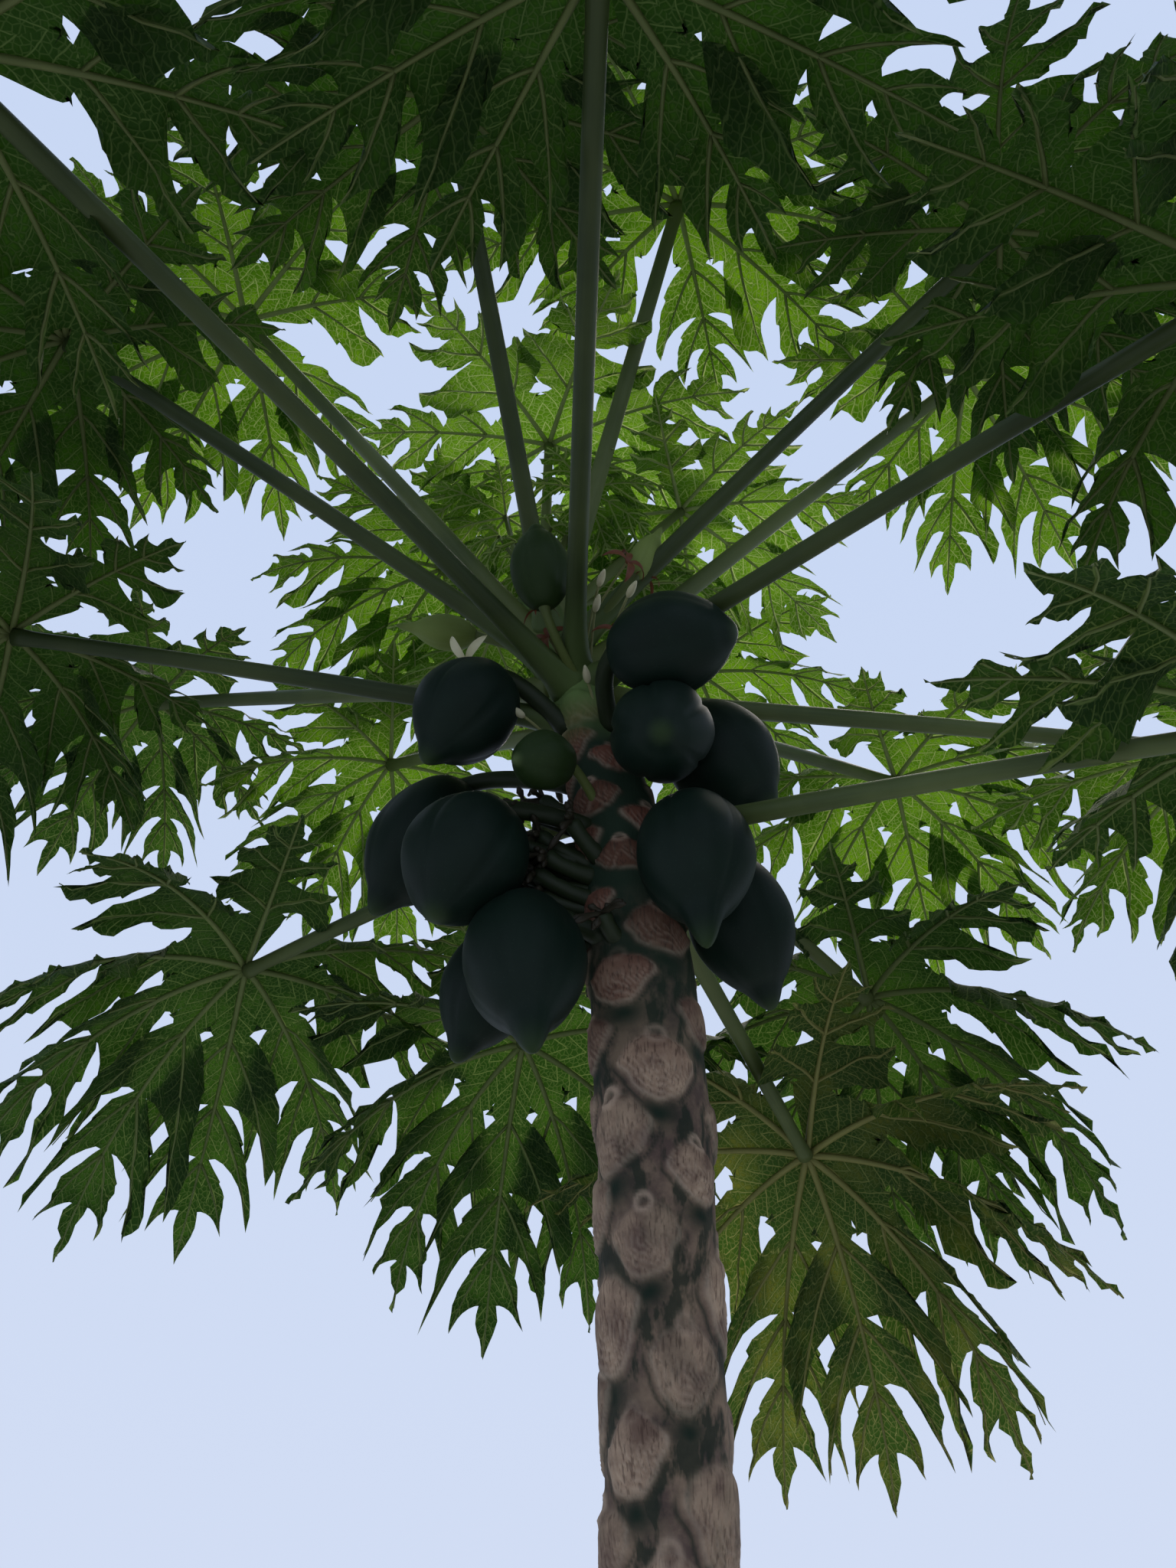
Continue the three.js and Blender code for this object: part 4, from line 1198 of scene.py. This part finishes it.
def makeSpurs(skins):
    bm = newMesh()
    steps = np.array(spurShape["steps"])[:, None]
    grown = np.linspace(0, 1, len(spurShape["twigRadii"]))[:, None]
    aside, upright = spurShape["twigSpread"]
    for k, (height, bearing, length, rise) in enumerate(spurs):
        start = stemAxis(height) + heading(bearing) * stemRadius(height) * fruitShape["seat"]
        points = start + heading(bearing, rise) * length * steps + up * spurShape["bend"] * steps ** 2
        addLimb(bm, points, spurShape["radii"], 12, heading(bearing + 90))
        for j in range(spurShape["twigs"]):
            twist = bearing + aside * math.sin(j * 2.1 + k)
            lean = rise + upright * math.sin(j * 1.7 + k * 2)
            reach = spurShape["twigLength"] * (1 + spurShape["twigStray"] * math.sin(j * 3.3 + k))
            fall = up * spurShape["twigFall"] * reach * grown ** 2
            bent = points[-1] + heading(twist, lean) * reach * grown - fall
            addLimb(bm, bent, spurShape["twigRadii"], 7, heading(twist + 90), 1)
    finishPiece(bm, "fruit_spurs", [skins["fruit"], skins["dry"]], "stalk")


def makeFruit(skins):
    flesh = {look: papayaSkin("papaya_skin_" + look, looks) for look, looks in fruitLooks.items()}
    footWider, footFade = fruitShape["stalkFoot"]
    topWider, *topZone = fruitShape["stalkTop"]
    steps = fruitShape["stalkSteps"]
    share = np.linspace(0, 1, steps)
    for number, row in enumerate(fruit, 1):
        height, bearing, out, long, wide, faces, rise, footHeight, beak, look = row
        axis = heading(faces, rise)
        middle = stemAxis(height) + heading(bearing) * out
        bm = newMesh("tip")
        addFruitBody(bm, middle, axis, long, wide, beak, number * 1.3)
        foot = stemAxis(footHeight) + heading(bearing) * stemRadius(footHeight) * fruitShape["seat"]
        inside = middle - axis * long * fruitShape["stalkEnd"]
        bend = middle - axis * long * fruitShape["stalkBend"]
        radius = fruitShape["stalk" if look == "large" else "smallStalk"]
        skin = skins["fruit" if look == "large" else "new"]
        flare = footWider * np.exp(-share / footFade)
        radii = radius * (1 + flare + topWider * smoothstep(*topZone, share))
        addLimb(bm, bendThrough(foot, bend, inside, steps), radii, 16, heading(bearing + 90), 1)
        name = "fruit_%02d" % number
        finishPiece(bm, name + "_fine", [flesh[look], skin], "fruit", name)


# Blossom: height, bearing and distance from the stem's axis, for each flower, bud and dry one

blossom = {
    "open": [(2.752, -165, 0.156), (2.790, 118, 0.140)],
    "buds": [(2.752, -128, 0.118), (2.808, -62, 0.128), (2.775, -57, 0.155), (2.782, -66, 0.106),
             (2.745, -47, 0.080), (2.700, -88, 0.062), (2.634, -142, 0.130), (2.790, 96, 0.120),
             (2.760, 58, 0.130), (2.802, 142, 0.110)],
    "dry": [(2.760, -112, 0.080), (2.765, -47, 0.098), (2.842, -45, 0.165), (2.868, 8, 0.150)],
    "wrapped": [(2.858, -25, 0.174), (2.775, -108, 0.115)],
    "petalLength": 0.040,
    "petalWidth": 0.013,
    "budLength": 0.028,
    "budRadii": (0.0012, 0.0042),
    "nod": -40,
    "wrappedRise": 64,
    "seat": 0.9,
    "stalkBend": (0.6, 0.012),
    "stalkRadius": 0.0020,
    "stalkSteps": 10,
    "drop": 0.045,
    "tube": [(-0.004, 0.004), (0, 0.0045), (0.012, 0.003)],  # under the petals of an open flower
}

# Rings of petals: how many, their length and width against the usual, opening, curl and material.
# Wrapped ones are withered petals that still stand round a young fruit.
petalRings = {
    "open": [(5, 1.15, 1, 0.9, 0.9, 0)],
    "buds": [],
    "dry": [(4, 0.9, 1, 0.5, 1.4, 2)],
    "wrapped": [(5, 1, 0.45, 0.95, -1.1, 2), (4, 0.8, 0.45, 1.3, 1.0, 2)],
}

blossomLooks = {
    "petal": ("#ece6c8", "#cfcba0"),
    "bud": ("#a8a873", "#7c8350"),
    "dry": ("#5a2a1e", "#865237"),
}


# Petals in a ring: opening is their lean from the axis, and curl is what they add on the way
def addPetals(bm, middle, axis, count, length, width, opening, curl, material):
    across = np.cross(axis, up if abs(axis[2]) < 0.9 else heading(0))
    across /= np.linalg.norm(across)
    other = np.cross(axis, across)
    share, columns = np.linspace(0, 1, 10)[:, None], np.linspace(-1, 1, 7)[None, :]
    for k in range(count):
        turn = 2 * math.pi * k / count
        out = across * math.cos(turn) + other * math.sin(turn)
        side = other * math.cos(turn) - across * math.sin(turn)
        lean = opening + curl * share
        wide = width / 2 * np.sin(np.pi * (share * 0.93 + 0.07)) ** 0.7 * columns
        rise = length * share * np.cos(lean) + 0.15 * width * columns ** 2
        reach = 0.002 + length * share * np.sin(lean) + 0 * columns
        places = middle + axis * rise[..., None] + out * reach[..., None] + side * wide[..., None]
        addSkin(bm, places, material=material)


def makeBlossom():
    materials = [softTissue("blossom_" + name, *colours, specular=0.4, waves=60)
                 for name, colours in blossomLooks.items()]
    bendAlong, bendUp = blossom["stalkBend"]
    steps = blossom["stalkSteps"]
    number = 0
    for kind, rings in petalRings.items():
        for height, bearing, out in blossom[kind]:
            number += 1
            bm = newMesh()
            middle = stemAxis(height) + heading(bearing) * out
            footHeight = height - blossom["drop"]
            foot = stemAxis(footHeight) + heading(bearing) * stemRadius(footHeight) * blossom["seat"]
            bend = foot + (middle - foot) * bendAlong + up * bendUp
            stalk = bendThrough(foot, bend, middle, steps)
            across = heading(bearing + 90)
            addLimb(bm, stalk, np.full(steps, blossom["stalkRadius"]), 6, across, 1)
            axis = stalk[-1] - stalk[-2] + 0.004 * heading(bearing)
            axis /= np.linalg.norm(axis)
            if kind == "open":
                axis = heading(bearing * 0.7, blossom["nod"])
            elif kind == "wrapped":
                axis = heading(bearing, blossom["wrappedRise"])
            for count, long, wide, opening, curl, material in rings:
                length, width = blossom["petalLength"] * long, blossom["petalWidth"] * wide
                addPetals(bm, middle, axis, count, length, width, opening, curl, material)
            if kind == "open":
                tube = [middle + axis * rise for rise, _ in blossom["tube"]]
                addLimb(bm, tube, [radius for _, radius in blossom["tube"]], 8, across, 1)
            elif kind == "buds":
                share = np.linspace(0, 1, 12)
                points = middle + axis * (blossom["budLength"] * share)[:, None]
                thin, thick = blossom["budRadii"]
                radii = thin + thick * np.sin(np.pi * share ** 0.75) ** 0.8
                addLimb(bm, points, radii, 12, across, 0)
            finishPiece(bm, "blossom_%02d" % number, materials, "young_leaf")


makeCamera()
makeStudio()
print("camera and studio made")
makeTrunk()
print("trunk made")
skins, freshMaterials = makeLeaves()
print("leaves made")
makeShoot(freshMaterials)
makeSpurs(skins)
makeFruit(skins)
makeBlossom()
print("shoot, fruit and blossom made")
